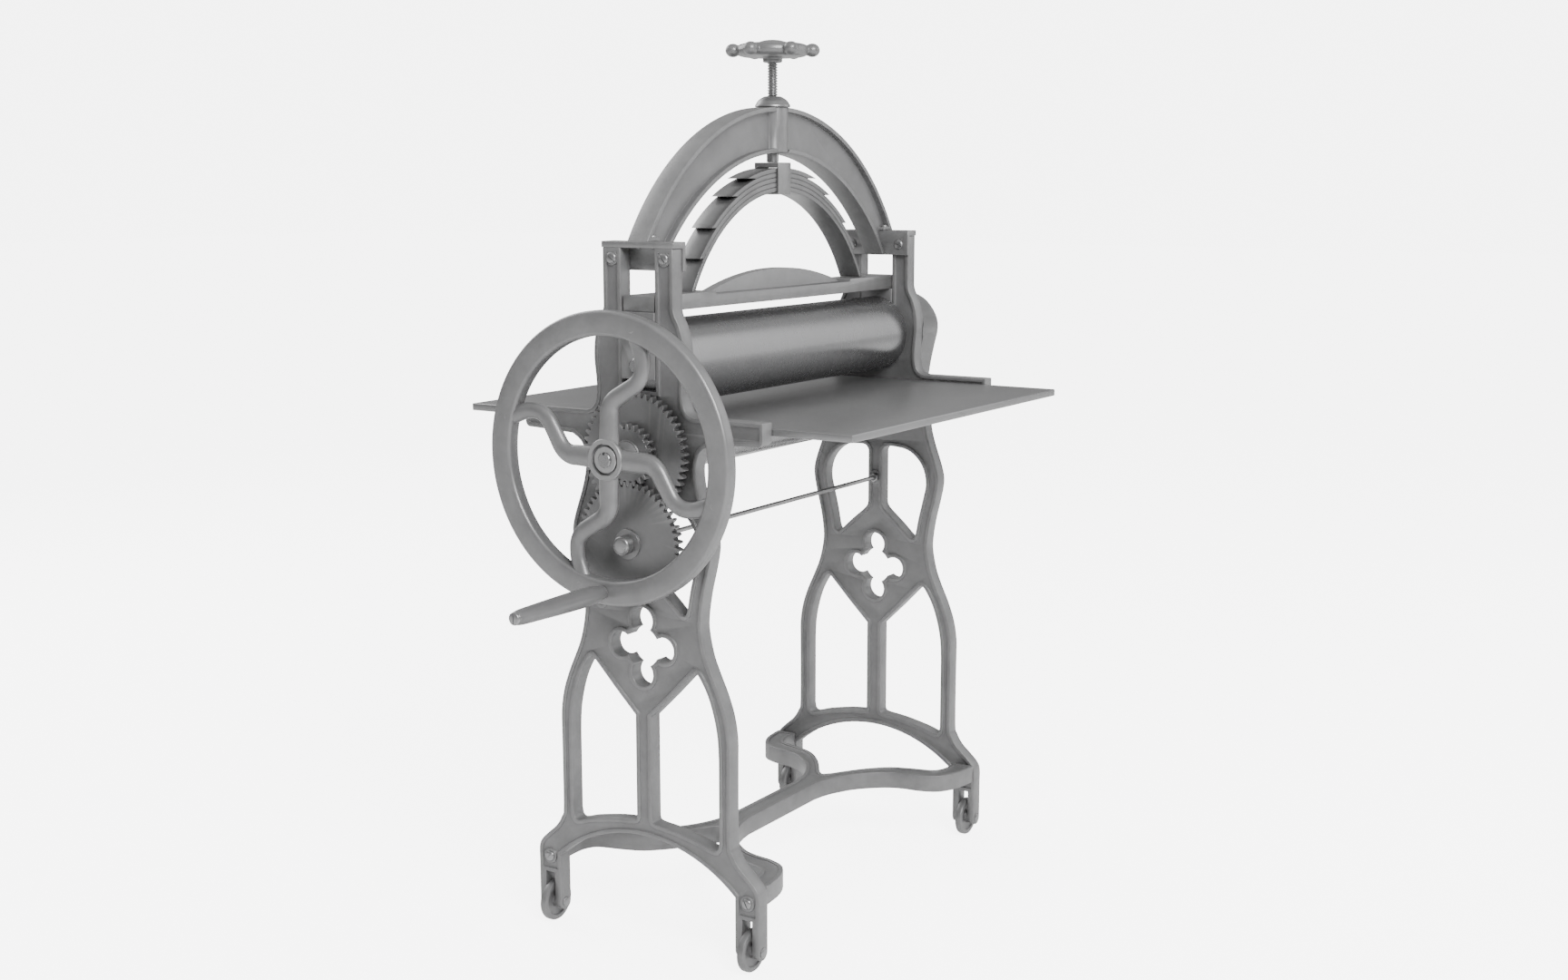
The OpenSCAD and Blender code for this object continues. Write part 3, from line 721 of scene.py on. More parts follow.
@dataclass
class Gears:
    """The four gears, with a small chamfer on every tooth."""

    finishes: Finishes
    tooth_edge: float = 0.35 * MM

    def build(self) -> None:
        """Builds the gears."""
        bodies = {
            "roller_gear": "lower_roller",
            "back_gear": "back_gear",
            "back_pinion": "back_gear",
            "handwheel_pinion": "handwheel",
        }
        for node, body in bodies.items():
            piece = Bench.casting(f"{node}_cut", node, self.tooth_edge, 1, 0.00002, Along.Y, 400.0 * MM, 20.0)
            Bench.dress(piece, self.finishes.gear, body, "gear_iron", [node])


@dataclass
class Handwheel:
    """The handwheel: a bevelled rim, four S-shaped spokes and a dished hub."""

    finishes: Finishes
    thick: float = 25.0 * MM
    rim_width: float = 39.0 * MM
    rim_round: float = 5.5 * MM
    tilt: float = -1.5
    spoke_line: list[Point] = field(default_factory=lambda: [
        (24, 0), (55, 0), (76, 0), (92, 9), (107, 31), (121, 51), (138, 61), (160, 61), (180, 55), (200, 49),
    ])
    spoke_radii: tuple[float, ...] = (17.0, 16.5, 15.8, 14.8, 14.0, 13.4, 13.0, 12.8, 14.0, 18.0)
    spoke_flat: float = 0.72

    def rim(self) -> bpy.types.Object:
        """Spins the rim's rounded section around the wheel's axis.

        Returns:
            The rim.
        """
        low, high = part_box("handwheel")
        axis = joint_spot("handwheel_turn")
        outer = (high.z - low.z) / 2.0
        centre = Vector((low.x + self.thick / 2.0, 0.0, axis.z + outer - self.rim_width / 2.0))
        Bench.clear()
        bpy.ops.mesh.primitive_plane_add(size=1.0, location=centre, rotation=(math.radians(90.0), 0.0, 0.0))
        piece = bpy.context.object
        piece.scale = (self.thick, self.rim_width, 1.0)
        bpy.ops.object.transform_apply(location=True, rotation=True, scale=True)
        bpy.ops.object.mode_set(mode="EDIT")
        bpy.ops.mesh.select_all(action="SELECT")
        bpy.ops.mesh.bevel(offset=self.rim_round, segments=5, affect="VERTICES", profile=0.45)
        bpy.ops.mesh.select_all(action="SELECT")
        bpy.ops.mesh.delete(type="ONLY_FACE")
        bpy.ops.mesh.select_all(action="SELECT")
        bpy.ops.mesh.spin(steps=144, angle=math.tau, center=(0.0, 0.0, axis.z), axis=(1.0, 0.0, 0.0))
        bpy.ops.object.mode_set(mode="OBJECT")
        return Bench.settle(piece, "wheel_rim", 30.0)

    def spokes(self) -> list[bpy.types.Object]:
        """Draws one spoke and turns copies of it to the other three places.

        Returns:
            The four spokes.
        """
        low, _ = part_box("handwheel")
        axis = joint_spot("handwheel_turn")
        middle = low.x + self.thick / 2.0
        steps = 4
        line = curve_points([(0.0, -u * MM, -v * MM) for u, v in self.spoke_line], steps)
        radii = [r.x * MM for r in curve_points([(r, 0.0, 0.0) for r in self.spoke_radii], steps)]
        first = Bench.drawn("spoke", line, radii, 24)
        shapes = []
        for k in range(4):
            spoke = first.copy()
            spoke.data = first.data.copy()
            bpy.context.scene.collection.objects.link(spoke)
            turn = Matrix.Rotation(-math.radians(self.tilt + 90.0 * k), 4, "X")
            flat = Matrix.Scale(self.spoke_flat, 4, (1.0, 0.0, 0.0))
            spoke.data.transform(Matrix.Translation((middle, 0.0, axis.z)) @ turn @ flat)
            shapes.append(spoke)
        bpy.data.objects.remove(first)
        return shapes

    def hub(self) -> bpy.types.Object:
        """Turns the hub, with its raised ring and dish.

        Returns:
            The hub.
        """
        low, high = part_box("handwheel")
        axis = joint_spot("handwheel_turn")
        bore = 12.05
        outline = [
            (0.0, 25.0), (0.0, 31.5), (1.5, 33.0), (6.0, 33.0), (10.0, 30.0), (21.0, 27.0), (25.0, 23.0),
            (28.0, 22.0), (55.0, 22.0), (55.0, bore), (6.0, bore), (6.0, 24.0), (5.0, 25.0),
        ]
        length = (high.x - low.x) / MM
        points = in_metres([(min(distance, length), radius) for distance, radius in outline])
        return Bench.spun("wheel_hub", points, Along.X, (low.x, 0.0, axis.z), 64, 30.0)

    def build(self) -> None:
        """Builds the handwheel, its collar, bolt and grip."""
        shapes = [self.rim(), self.hub()] + self.spokes()
        wheel = Bench.gather(shapes, "handwheel_casting")
        Bench.dress(wheel, self.finishes.wheel, "handwheel", "wheel_iron", ["handwheel"])
        self.grip()
        self.bolt()
        self.collar()

    def grip(self) -> None:
        """Turns the hand grip."""
        low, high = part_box("handle_grip")
        spot = middle_of("handle_grip")
        length = (high.x - low.x) / MM
        shape = [
            (0.0, 9.6), (0.6, 10.3), (5.0, 10.6), (9.0, 11.4), (15.0, 12.8), (24.0, 14.2), (36.0, 14.9),
            (52.0, 15.0), (75.0, 14.9), (100.0, 14.5), (125.0, 14.0), (150.0, 13.3), (170.0, 12.8),
            (184.0, 12.4), (194.0, 11.9), (201.0, 11.2), (205.5, 10.2), (207.0, 9.2), (length, 8.4),
        ]
        bore = 6.05
        line = curve_points([(d, r, 0.0) for d, r in shape], 2)
        outline = [(-p.x * MM, p.y * MM) for p in line]
        outline += [(-length * MM, bore * MM), (0.0, bore * MM)]
        piece = Bench.spun("handle_grip_turned", outline, Along.X, (high.x, spot.y, spot.z), 64, 40.0)
        Bench.dress(piece, self.finishes.grip, "handle_grip", "grip_finish", ["handle_grip"])

    def bolt(self) -> None:
        """Turns the handle bolt and cuts its slot."""
        low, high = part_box("handle_bolt")
        spot = middle_of("handle_bolt")
        profile = [
            (0.0, 7.6), (0.5, 8.8), (1.4, 9.7), (2.4, 10.0), (3.7, 10.0), (3.8, 6.0),
            ((high.x - low.x) / MM - 0.6, 6.0), ((high.x - low.x) / MM, 5.4),
        ]
        piece = Bench.turned(
            "handle_bolt_turned", in_metres(profile), Along.X, (low.x, spot.y, spot.z), 48
        )
        slot = Bench.block(
            "slot_tool", (low.x - 2 * MM, spot.y - 1.0 * MM, spot.z - 12 * MM),
            (low.x + 1.6 * MM, spot.y + 1.0 * MM, spot.z + 12 * MM), 0.2 * MM, 1,
        )
        Bench.carve(piece, slot)
        Bench.settle(piece, "handle_bolt_turned", 30.0)
        Bench.dress(piece, self.finishes.small, "handwheel", "fastener_steel", ["handle_bolt"])

    def collar(self) -> None:
        """Turns the collar that keeps the handwheel on its shaft."""
        low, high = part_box("shaft_collar")
        spot = middle_of("shaft_collar")
        thick = high.x - low.x
        outline = [
            (0.0, 12.05 * MM), (0.0, 19.8 * MM), (1.0 * MM, 21.0 * MM),
            (thick, 21.0 * MM), (thick, 12.05 * MM),
        ]
        piece = Bench.spun("shaft_collar_turned", outline, Along.X, (low.x, spot.y, spot.z), 64, 30.0)
        Bench.dress(piece, self.finishes.small, "lower_roller", "fastener_steel", ["shaft_collar"])


@dataclass
class Rollers:
    """The two rollers with their journals."""

    finishes: Finishes
    journal: float = 12.0 * MM
    half_face: float = 358.0 * MM
    shoulder: float = 18.0 * MM
    lower_chamfer: float = 1.2 * MM
    upper_chamfer: float = 2.0 * MM
    bands: int = 36

    def build(self) -> None:
        """Builds both rollers."""
        self.lower()
        self.upper()

    def barrel(self, reach: float, radius: float) -> list[tuple[float, float]]:
        """Divides a roller's long face into short bands.

        Args:
            reach: Half the face's length.
            radius: The roller's radius.

        Returns:
            Distance along the axis and radius of each ring.
        """
        return [(reach * (2.0 * k / self.bands - 1.0), radius) for k in range(self.bands + 1)]

    def lower(self) -> None:
        """Turns the lower roller, with its keyed shaft end."""
        low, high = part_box("lower_roller")
        axis = joint_spot("lower_roller_turn")
        radius = (high.z - low.z) / 2.0
        half, chamfer, shoulder = self.half_face, self.lower_chamfer, self.shoulder
        a, b = low.x - axis.x, high.x - axis.x
        profile = [
            (a, self.journal - chamfer), (a + chamfer, self.journal), (-half - 3 * MM, self.journal),
            (-half - 2.9 * MM, shoulder), (-half - 0.1 * MM, shoulder), (-half, radius - chamfer),
            *self.barrel(half - chamfer, radius), (half, radius - chamfer),
            (half + 0.1 * MM, shoulder), (half + 2.9 * MM, shoulder), (half + 3 * MM, self.journal),
            (b - chamfer, self.journal), (b, self.journal - chamfer),
        ]
        piece = Bench.turned("lower_roller_turned", profile, Along.X, axis, 128, 30.0)
        key = Bench.block(
            "key_tool", (low.x - 2 * MM, -2.2 * MM, axis.z + 8.0 * MM),
            (low.x + 5 * MM, 2.2 * MM, axis.z + 14.0 * MM), 0.3 * MM, 1,
        )
        Bench.carve(piece, key)
        Bench.settle(piece, "lower_roller_turned", 30.0)
        Bench.dress(piece, self.finishes.turned, "lower_roller", "roller_steel", ["lower_roller"])

    def upper(self) -> None:
        """Turns the upper roller."""
        low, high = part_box("upper_roller")
        axis = joint_spot("upper_roller_turn")
        radius = (high.z - low.z) / 2.0
        half, chamfer = self.half_face, self.upper_chamfer
        a, b = low.x - axis.x, high.x - axis.x
        profile = [
            (a, self.journal - chamfer), (a + chamfer, self.journal), (-half - 0.1 * MM, self.journal),
            (-half, radius - chamfer), *self.barrel(half - chamfer, radius),
            (half, radius - chamfer), (half + 0.1 * MM, self.journal),
            (b - 1 * MM, self.journal), (b, self.journal - 1 * MM),
        ]
        piece = Bench.turned("upper_roller_turned", profile, Along.X, axis, 160, 30.0)
        Bench.dress(piece, self.finishes.turned, "upper_roller", "roller_steel", ["upper_roller"])


@dataclass
class Bed:
    """The ground bed plate."""

    finishes: Finishes
    edge: float = 1.6 * MM

    def build(self) -> None:
        """Builds the bed."""
        low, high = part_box("bed")
        piece = Bench.block("bed_plate", low, high, self.edge, 3)
        Bench.dress(piece, self.finishes.ground, "bed", "bed_steel", ["bed"])


@dataclass
class PressureScrew:
    """The threaded screw, its domed nut and the star handle."""

    finishes: Finishes
    pitch: float = 4.5 * MM
    radius: float = 8.8 * MM
    cut: float = 2.2 * MM
    tip_height: float = 15.5 * MM
    fade: float = 2.0 * MM
    rows_per_turn: int = 10
    around: int = 40
    ball: float = 13.0 * MM
    ball_height: float = 20.5 * MM
    lobes: int = 6

    def build(self) -> None:
        """Builds the screw, the nut and the handle."""
        self.screw()
        self.nut()
        self.star()

    def screw(self) -> None:
        """Rolls a sheet into a threaded bar and turns its ends."""
        low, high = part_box("pressure_screw")
        middle = middle_of("pressure_screw")
        start, end = low.z + self.tip_height, high.z - 0.5 * MM
        rows = int((end - start) / self.pitch * self.rows_per_turn)
        Bench.clear()
        bpy.ops.mesh.primitive_grid_add(x_subdivisions=self.around, y_subdivisions=rows, size=1.0)
        piece = bpy.context.object
        for vertex in piece.data.vertices:
            turn = (vertex.co.x + 0.5) * math.tau
            height = start + (vertex.co.y + 0.5) * (end - start)
            phase = (height / self.pitch - turn / math.tau) % 1.0
            flank = abs(phase * 2.0 - 1.0)
            tooth = min(max((flank - 0.15) / 0.7, 0.0), 1.0)
            fade = min(1.0, (height - start) / self.fade, (end - height) / self.fade)
            radius = self.radius - self.cut * (1.0 - tooth * max(fade, 0.0))
            vertex.co = (radius * math.cos(turn), radius * math.sin(turn), height)
        bpy.ops.object.mode_set(mode="EDIT")
        bpy.ops.mesh.select_all(action="SELECT")
        bpy.ops.mesh.remove_doubles(threshold=0.00002)
        bpy.ops.mesh.select_all(action="DESELECT")
        bpy.ops.mesh.select_non_manifold()
        bpy.ops.mesh.edge_face_add()
        bpy.ops.object.mode_set(mode="OBJECT")
        piece.location = (middle.x, middle.y, 0.0)
        Bench.settle(piece, "screw_thread", 60.0)
        tip = (high.x - low.x) / 2.0
        foot = Bench.turned(
            "screw_tip",
            [(0.0, tip - 1.2 * MM), (1.2 * MM, tip), (14.2 * MM, tip), (15.2 * MM, tip - 1.0 * MM),
             (15.4 * MM, self.radius - self.cut)],
            Along.Z, (middle.x, middle.y, low.z), 48,
        )
        whole = Bench.gather([piece, foot], "pressure_screw_threaded")
        Bench.dress(whole, self.finishes.upright, "pressure_screw", "screw_steel", ["pressure_screw"])

    def nut(self) -> None:
        """Turns the domed nut on top of the bow."""
        low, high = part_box("screw_nut")
        middle = middle_of("screw_nut")
        bore = 8.85
        tall = (high.z - low.z) / MM
        flange = tall - 18.0
        outline = [
            (0.0, bore), (0.0, 14.0), (flange, 14.0), (flange, 29.4),
            (flange + 0.6, 30.0), (flange + 3.4, 30.0),
            (flange + 4.5, 29.2), (flange + 5.5, 28.3), (flange + 8.0, 27.2), (flange + 10.8, 25.0),
            (flange + 13.2, 22.3), (flange + 15.2, 19.2), (flange + 16.8, 16.6), (flange + 17.6, 14.6),
            (tall, 13.2), (tall, bore),
        ]
        spot = (middle.x, middle.y, low.z)
        piece = Bench.spun("screw_nut_turned", in_metres(outline), Along.Z, spot, 72, 40.0)
        Bench.dress(piece, self.finishes.machined, "frame", "machined_iron", ["screw_nut"])

    def star(self) -> None:
        """Builds the star handle from a disc, six round lobes and a dome."""
        low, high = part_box("star_handle")
        middle = middle_of("star_handle")
        base = low.z
        hub = [
            (0.0, 14.5), (1.2, 16.5), (8.4, 16.5), (9.0, 20.0), (9.2, 48.0), (11.0, 56.0), (15.0, 60.0),
            (20.5, 61.5), (26.0, 60.0), (30.0, 56.0), (31.8, 48.0), (32.0, 30.0), (33.6, 25.0), (35.6, 19.0),
            (37.2, 12.0), (38.0, 3.0),
        ]
        shapes = [Bench.turned(
            "star_body", in_metres(hub), Along.Z, (middle.x, middle.y, base), 96, 40.0
        )]
        reach = (high.x - low.x) / 2.0
        ball = self.ball
        for k in range(self.lobes):
            turn = math.radians(360.0 / self.lobes * k)
            spot = (
                middle.x + (reach - ball) * math.cos(turn),
                middle.y + (reach - ball) * math.sin(turn),
                base + self.ball_height,
            )
            Bench.clear()
            bpy.ops.mesh.primitive_uv_sphere_add(segments=32, ring_count=20, radius=ball, location=spot)
            lobe = bpy.context.object
            bpy.ops.object.mode_set(mode="EDIT")
            bpy.ops.mesh.select_all(action="SELECT")
            bpy.ops.transform.resize(value=(1.0, 1.0, 0.88), center_override=spot)
            bpy.ops.object.mode_set(mode="OBJECT")
            bpy.ops.object.transform_apply(location=True)
            shapes.append(lobe)
        star = Bench.gather(shapes, "star_handle_cast")
        Bench.modify(star, "REMESH", mode="VOXEL", voxel_size=1.3 * MM, use_smooth_shade=True)
        Bench.modify(star, "SMOOTH", factor=0.5, iterations=8)
        Bench.settle(star, "star_handle_cast", 60.0)
        Bench.dress(star, self.finishes.wheel, "pressure_screw", "wheel_iron", ["star_handle"])


@dataclass
class Casters:
    """The four caster wheels with dished faces, and their axles."""

    finishes: Finishes
    half_hub: float = 9.2
    half_tread: float = 6.25
    radius: float = 35.0
    bore: float = 5.05
    half_axle: float = 25.5
    axle_head: float = 3.0

    def build(self) -> None:
        """Turns a wheel for each of the four feet and adds the axles."""
        names = ["caster_near_front", "caster_near_back", "caster_far_front", "caster_far_back"]
        hub, tread, radius, bore = self.half_hub, self.half_tread, self.radius, self.bore
        outline = [
            (-hub, bore), (-hub, 10.0), (-hub + 0.8, 10.8), (-tread + 3.4, 12.0), (-tread + 2.9, 14.5),
            (-tread + 2.9, 23.0), (-tread + 2.2, 25.0), (-tread, 26.5), (-tread, 32.6), (-tread + 0.7, 34.0),
            (-tread + 2.2, 34.8), (0.0, radius), (tread - 2.2, 34.8), (tread - 0.7, 34.0), (tread, 32.6),
            (tread, 26.5), (tread - 2.2, 25.0), (tread - 2.9, 23.0), (tread - 2.9, 14.5), (tread - 3.4, 12.0),
            (hub - 0.8, 10.8), (hub, 10.0), (hub, bore),
        ]
        for name in names:
            piece = Bench.spun(f"{name}_wheel", in_metres(outline), Along.Y, middle_of(name), 72, 32.0)
            Bench.dress(piece, self.finishes.caster, name, "caster_iron", [name])
        self.axles(names)

    def axles(self, names: Sequence[str]) -> None:
        """Turns the axles with rounded heads.

        Args:
            names: The caster nodes, one for each axle.
        """
        shapes = []
        half, head = self.half_axle, self.axle_head
        profile = [
            (-half, 5.0), (-half + 0.8, 7.0), (-half + 1.8, 8.0), (-half + head, 8.0),
            (-half + head + 0.01, 5.0),
            (half - head - 0.01, 5.0), (half - head, 8.0), (half - 1.8, 8.0), (half - 0.8, 7.0), (half, 5.0),
        ]
        for name in names:
            shapes.append(Bench.turned(
                "axle", in_metres(profile), Along.Y, middle_of(name), 32, 40.0
            ))
        axles = Bench.gather(shapes, "caster_axles_turned")
        Bench.dress(axles, self.finishes.small, "frame", "fastener_steel", ["caster_axles"])


@dataclass
class Fasteners:
    """Screws with round slotted heads, the tie rod and its nuts."""

    finishes: Finishes

    def head(self, spot: Vector, radius: float, tall: float, side: float, turn: float) -> bpy.types.Object:
        """Makes one round slotted head.

        Args:
            spot: The middle of the head's seat.
            radius: The head's radius.
            tall: How far it stands out.
            side: 1 to face +X, -1 to face -X.
            turn: The slot's angle, in degrees.

        Returns:
            The head.
        """
        rings = [(0.0, 1.0), (0.25, 1.0), (0.55, 0.93), (0.8, 0.78), (0.94, 0.55), (1.0, 0.3)]
        profile = [(d * tall, r * radius) for d, r in rings]
        piece = Bench.turned("head", profile, Along.Z, (0.0, 0.0, 0.0), 36, 45.0)
        reach = radius + 1 * MM
        slot = Bench.block(
            "slot_tool", (-reach, -1.0 * MM, tall - 1.7 * MM), (reach, 1.0 * MM, tall + 1 * MM), 0.15 * MM, 1
        )
        Bench.carve(piece, slot)
        piece.data.transform(
            Matrix.Translation(spot)
            @ Matrix.Rotation(math.radians(90.0 * side), 4, "Y")
            @ Matrix.Rotation(math.radians(turn), 4, "Z")
        )
        return Bench.settle(piece, "head", 35.0)

    def screws(
        self, node: str, name: str, radius: float, tall: float, shaft: float, turns: Sequence[float]
    ) -> None:
        """Makes all the screws of a node: heads on each solid's outer end and plain shafts.

        Args:
            node: The frame node that holds the screws.
            name: The new piece's name.
            radius: The heads' radius.
            tall: How far the heads stand out.
            shaft: The shafts' radius.
            turns: Slot angles, taken in turn.
        """
        shapes = []
        for index, (low, high) in enumerate(loose_boxes(node)):
            middle = (low + high) / 2.0
            side = self.outward(node, low, high)
            seat = high.x - tall if side > 0 else low.x + tall
            shapes.append(self.head(
                Vector((seat, middle.y, middle.z)), radius, tall, side, turns[index % len(turns)]
            ))
            far = low.x if side > 0 else high.x
            length = seat - far
            shapes.append(Bench.turned(
                "shaft", [(0.0, shaft * 0.9), (0.4 * MM * math.copysign(1, length), shaft), (length, shaft)],
                Along.X, (far, middle.y, middle.z), 24,
            ))
        whole = Bench.gather(shapes, name)
        Bench.dress(whole, self.finishes.small, "frame", "fastener_steel", [node])

    @staticmethod
    def outward(node: str, low: Vector, high: Vector) -> float:
        """The side of X that a screw's head is on, from where its mesh is widest."""
        mesh = frame["nodes"][node].data
        middle = (low + high) / 2.0
        near, far = 0.0, 0.0
        for vertex in mesh.vertices:
            spot = vertex.co
            if (low.x - 1e-5 <= spot.x <= high.x + 1e-5 and low.y - 1e-5 <= spot.y <= high.y + 1e-5
                    and low.z - 1e-5 <= spot.z <= high.z + 1e-5):
                reach = math.hypot(spot.y - middle.y, spot.z - middle.z)
                if spot.x < middle.x:
                    near = max(near, reach)
                else:
                    far = max(far, reach)
        return 1.0 if far > near else -1.0

    def bow_bolts(self) -> None:
        """Makes the upright bolts at the bow's feet."""
        shapes = []
        for low, high in loose_boxes("arch_bolts"):
            middle = (low + high) / 2.0
            tall = 4.5 * MM
            piece = self.head(Vector((0.0, 0.0, 0.0)), 5.2 * MM, tall, 1.0, 35.0)
            piece.data.transform(
                Matrix.Translation((middle.x, middle.y, high.z - tall))
                @ Matrix.Rotation(math.radians(-90.0), 4, "Y")
            )
            shapes.append(piece)
            shapes.append(Bench.turned(
                "shaft", [(0.0, 3.0 * MM), (0.4 * MM, 3.4 * MM), (high.z - tall - low.z, 3.4 * MM)],
                Along.Z, (middle.x, middle.y, low.z), 24,
            ))
        whole = Bench.gather(shapes, "arch_bolts_slotted")
        Bench.dress(whole, self.finishes.small, "frame", "fastener_steel", ["arch_bolts"])

    def tie(self) -> None:
        """Turns the tie rod and gives its nuts chamfered corners."""
        low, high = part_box("tie_rod")
        middle = middle_of("tie_rod")
        radius = (high.z - low.z) / 2.0
        length = high.x - low.x
        profile = [
            (0.0, radius * 0.85), (0.6 * MM, radius), (length - 1 * MM, radius), (length, radius * 0.75),
        ]
        rod = Bench.turned("tie_rod_turned", profile, Along.X, (low.x, middle.y, middle.z), 32)
        Bench.dress(rod, self.finishes.small, "frame", "fastener_steel", ["tie_rod"])
        nuts = Bench.casting("tie_rod_nuts_cut", "tie_rod_nuts", 0.5 * MM, 2, 0.00002)
        Bench.dress(nuts, self.finishes.small, "frame", "fastener_steel", ["tie_rod_nuts"])

    def stud(self) -> None:
        """Turns the back gear's stud with its domed head."""
        low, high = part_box("back_gear_stud")
        middle = middle_of("back_gear_stud")
        length = (high.x - low.x) / MM
        head = 17.9
        profile = [
            (0.0, 9.5), (0.6, 12.0), (1.8, 14.0), (3.6, 15.0), (head, 15.0), (head + 0.05, 10.0),
            (length - 29.1, 10.0), (length - 29.0, 16.0), (length - 25.6, 16.0), (length - 25.5, 6.0),
            (length - 0.6, 6.0), (length, 5.4),
        ]
        piece = Bench.turned(
            "back_gear_stud_turned", in_metres(profile), Along.X, (low.x, middle.y, middle.z), 56, 35.0,
        )
        Bench.dress(piece, self.finishes.small, "frame", "fastener_steel", ["back_gear_stud"])

    def bushes(self) -> None:
        """Gives the lower bushes softened flanges."""
        piece = Bench.casting(
            "lower_bushes_turned", "lower_bushes", 0.4 * MM, 2, 0.00002, Along.Y, 400.0 * MM
        )
        Bench.dress(piece, self.finishes.machined, "frame", "machined_iron", ["lower_bushes"])

    def build(self) -> None:
        """Builds every fastener."""
        self.screws(
            "foot_screws", "foot_screws_slotted", 9.0 * MM, 4.0 * MM, 5.0 * MM, (28.0, -50.0, 15.0, 70.0)
        )
        self.screws(
            "cap_screws", "cap_screws_slotted", 9.0 * MM, 3.5 * MM, 4.0 * MM,
            (40.0, 55.0, -20.0, 10.0, 65.0),
        )
        self.bow_bolts()
        self.tie()
        self.stud()
        self.bushes()


def loose_boxes(node: str) -> list[tuple[Vector, Vector]]:
    """Boxes of the separate solids in a frame node.

    Args:
        node: The frame node.

    Returns:
        The lowest and highest corner of each solid, in a fixed order.
    """
    mesh = bmesh.new()
    mesh.from_mesh(frame["nodes"][node].data)
    bmesh.ops.remove_doubles(mesh, verts=mesh.verts, dist=0.00001)
    seen: set[int] = set()
    boxes = []
    for first in mesh.verts:
        if first.index in seen:
            continue
        stack, group = [first], []
        seen.add(first.index)
        while stack:
            vertex = stack.pop()
            group.append(vertex.co.copy())
            for edge in vertex.link_edges:
                other = edge.other_vert(vertex)
                if other.index not in seen:
                    seen.add(other.index)
                    stack.append(other)
        low = Vector([min(p[i] for p in group) for i in range(3)])
        high = Vector([max(p[i] for p in group) for i in range(3)])
        boxes.append((low, high))
    mesh.free()
    boxes.sort(key=lambda box: tuple(round(c, 4) for c in box[0]))
    return boxes


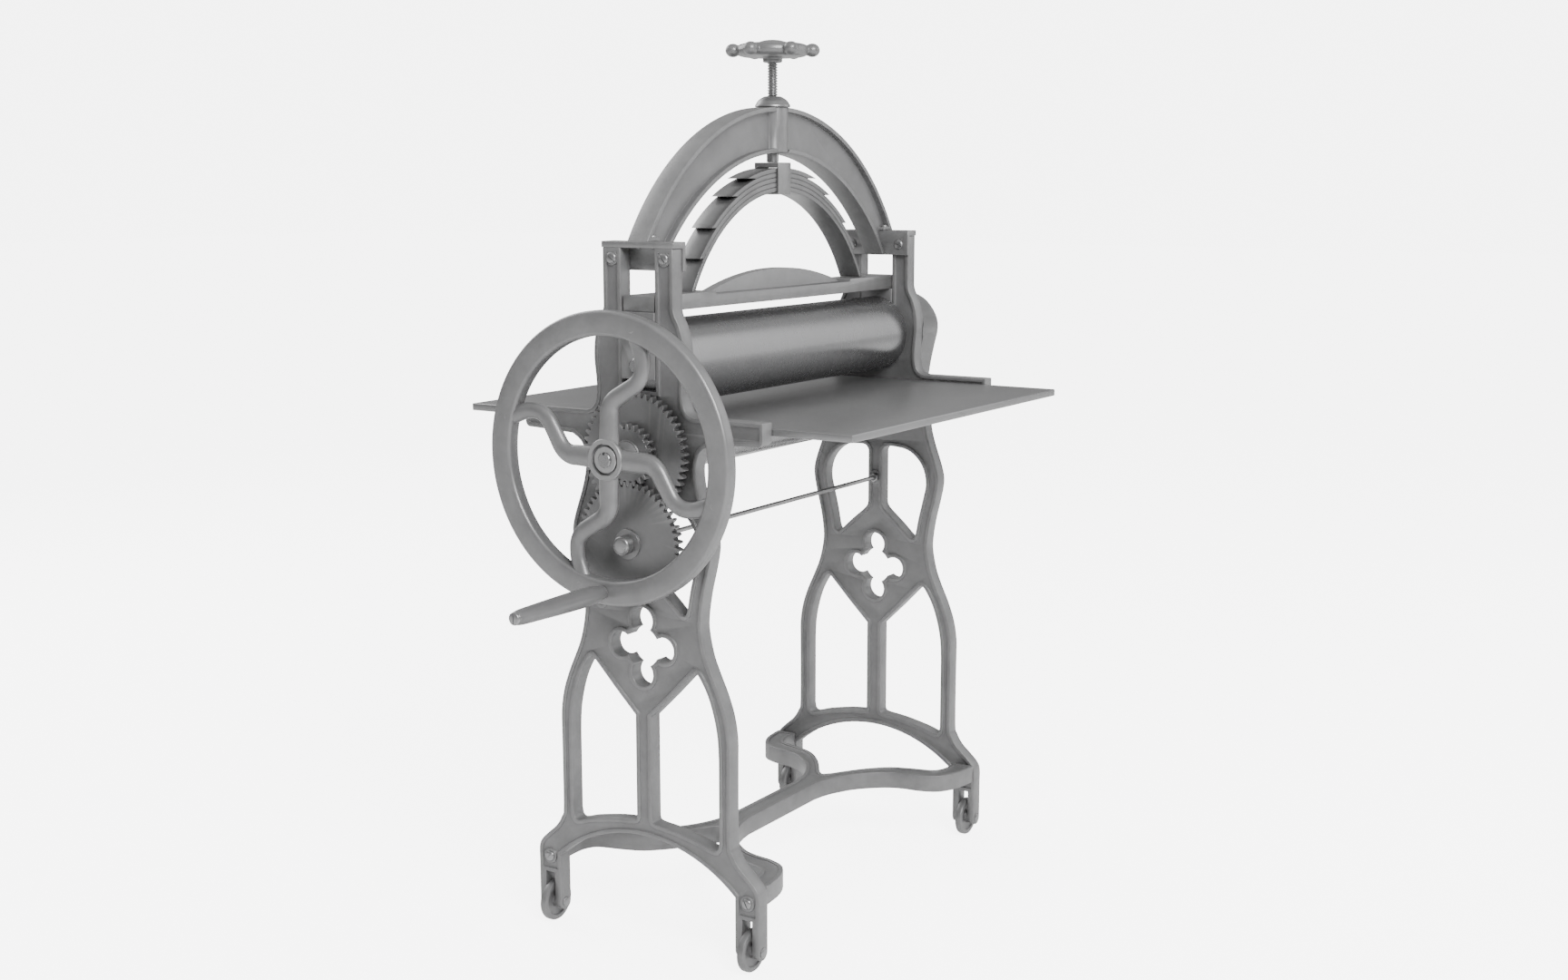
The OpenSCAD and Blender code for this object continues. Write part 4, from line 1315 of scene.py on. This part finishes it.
@dataclass
class Studio:
    """A plain pale floor, soft lights and the camera."""

    camera_spot: tuple[float, float, float] = (-2.5937, -1.7450, 1.2482)
    camera_turn: tuple[float, float, float] = (80.46, 0.0, -57.61)
    lens: float = 42.80
    backdrop: float = 6.0
    sky_light: float = 0.95
    floor_glow: float = 5.4
    floor_bounce: float = 0.3
    lamps: tuple[tuple[str, Point, Point, float, float], ...] = (
        ("key", (-2.2, -3.2, 3.4), (0.0, 0.0, 0.8), 330.0, 2.0),
        ("fill", (3.0, -2.6, 2.2), (0.0, 0.0, 0.8), 55.0, 3.0),
        ("rim", (0.5, 3.6, 3.0), (0.0, 0.0, 1.0), 120.0, 2.5),
    )

    def camera(self) -> None:
        """Places the camera."""
        data = bpy.data.cameras.new("camera")
        data.lens = self.lens
        data.sensor_width = 36.0
        data.clip_end = 200.0
        camera = bpy.data.objects.new("camera", data)
        camera.location = self.camera_spot
        camera.rotation_euler = [math.radians(a) for a in self.camera_turn]
        bpy.context.scene.collection.objects.link(camera)
        bpy.context.scene.camera = camera

    def floor(self) -> None:
        """Lays the pale floor, which looks bright but throws little light up."""
        Bench.clear()
        bpy.ops.mesh.primitive_plane_add(size=60.0, location=(0.0, 0.0, 0.0))
        floor = bpy.context.object
        floor.name = "floor"
        graph = Graph(bpy.data.materials.new("pale_floor"))
        shades = []
        for glow in (self.floor_bounce, self.floor_glow):
            paint = {
                "Base Color": (0.9, 0.9, 0.9, 1.0),
                "Roughness": 0.9,
                "Emission Color": (1.0, 1.0, 1.0, 1.0),
                "Emission Strength": glow,
            }
            shades.append(graph.add("ShaderNodeBsdfPrincipled", {}, paint, "BSDF"))
        seen = graph.add("ShaderNodeLightPath", {}, {}, "Is Camera Ray")
        both = graph.add("ShaderNodeMixShader", {}, {0: seen, 1: shades[0], 2: shades[1]})
        graph.add("ShaderNodeOutputMaterial", {}, {"Surface": both}, None)
        floor.data.materials.append(graph.owner)

    def lamp(self, name: str, spot: Point, aim: Point, power: float, size: float) -> None:
        """Hangs one soft square light.

        Args:
            name: The light's name.
            spot: Where it hangs.
            aim: The point it faces.
            power: Its power in watts.
            size: The length of its side.
        """
        data = bpy.data.lights.new(name, "AREA")
        data.energy = power
        data.size = size
        lamp = bpy.data.objects.new(name, data)
        lamp.location = spot
        lamp.rotation_euler = (Vector(aim) - Vector(spot)).to_track_quat("-Z", "Y").to_euler()
        bpy.context.scene.collection.objects.link(lamp)

    def sky(self) -> None:
        """Sets a white backdrop, and a softer surround that is darker low down for the light."""
        world = bpy.data.worlds.new("studio")
        bpy.context.scene.world = world
        graph = Graph(world)
        heading = graph.add("ShaderNodeTexCoord", {}, {}, "Generated")
        height = graph.add("ShaderNodeSeparateXYZ", {}, {"Vector": heading}, "Z")
        glow = graph.blend(height.ramp(-0.05, 0.75), (0.08, 0.08, 0.082, 1.0), (1.0, 1.0, 1.0, 1.0))
        soft = graph.add("ShaderNodeBackground", {}, {"Color": glow, "Strength": self.sky_light})
        white = (1.0, 1.0, 1.0, 1.0)
        backdrop = graph.add("ShaderNodeBackground", {}, {"Color": white, "Strength": self.backdrop})
        seen = graph.add("ShaderNodeLightPath", {}, {}, "Is Camera Ray")
        both = graph.add("ShaderNodeMixShader", {}, {0: seen, 1: soft, 2: backdrop})
        graph.add("ShaderNodeOutputWorld", {}, {"Surface": both}, None)

    def build(self) -> None:
        """Sets up the whole studio."""
        self.camera()
        self.floor()
        self.sky()
        for lamp in self.lamps:
            self.lamp(*lamp)


def main() -> None:
    """Builds the press and its studio."""
    logging.basicConfig(level=logging.INFO, format="%(name)s %(message)s")
    Studio().build()
    finishes = Finishes()
    for assembly in (
        Castings(finishes), Gears(finishes), Handwheel(finishes), Rollers(finishes), Bed(finishes),
        PressureScrew(finishes), Casters(finishes), Fasteners(finishes),
    ):
        LOG.info("building %s", type(assembly).__name__)
        assembly.build()


if __name__ == "__main__":
    main()
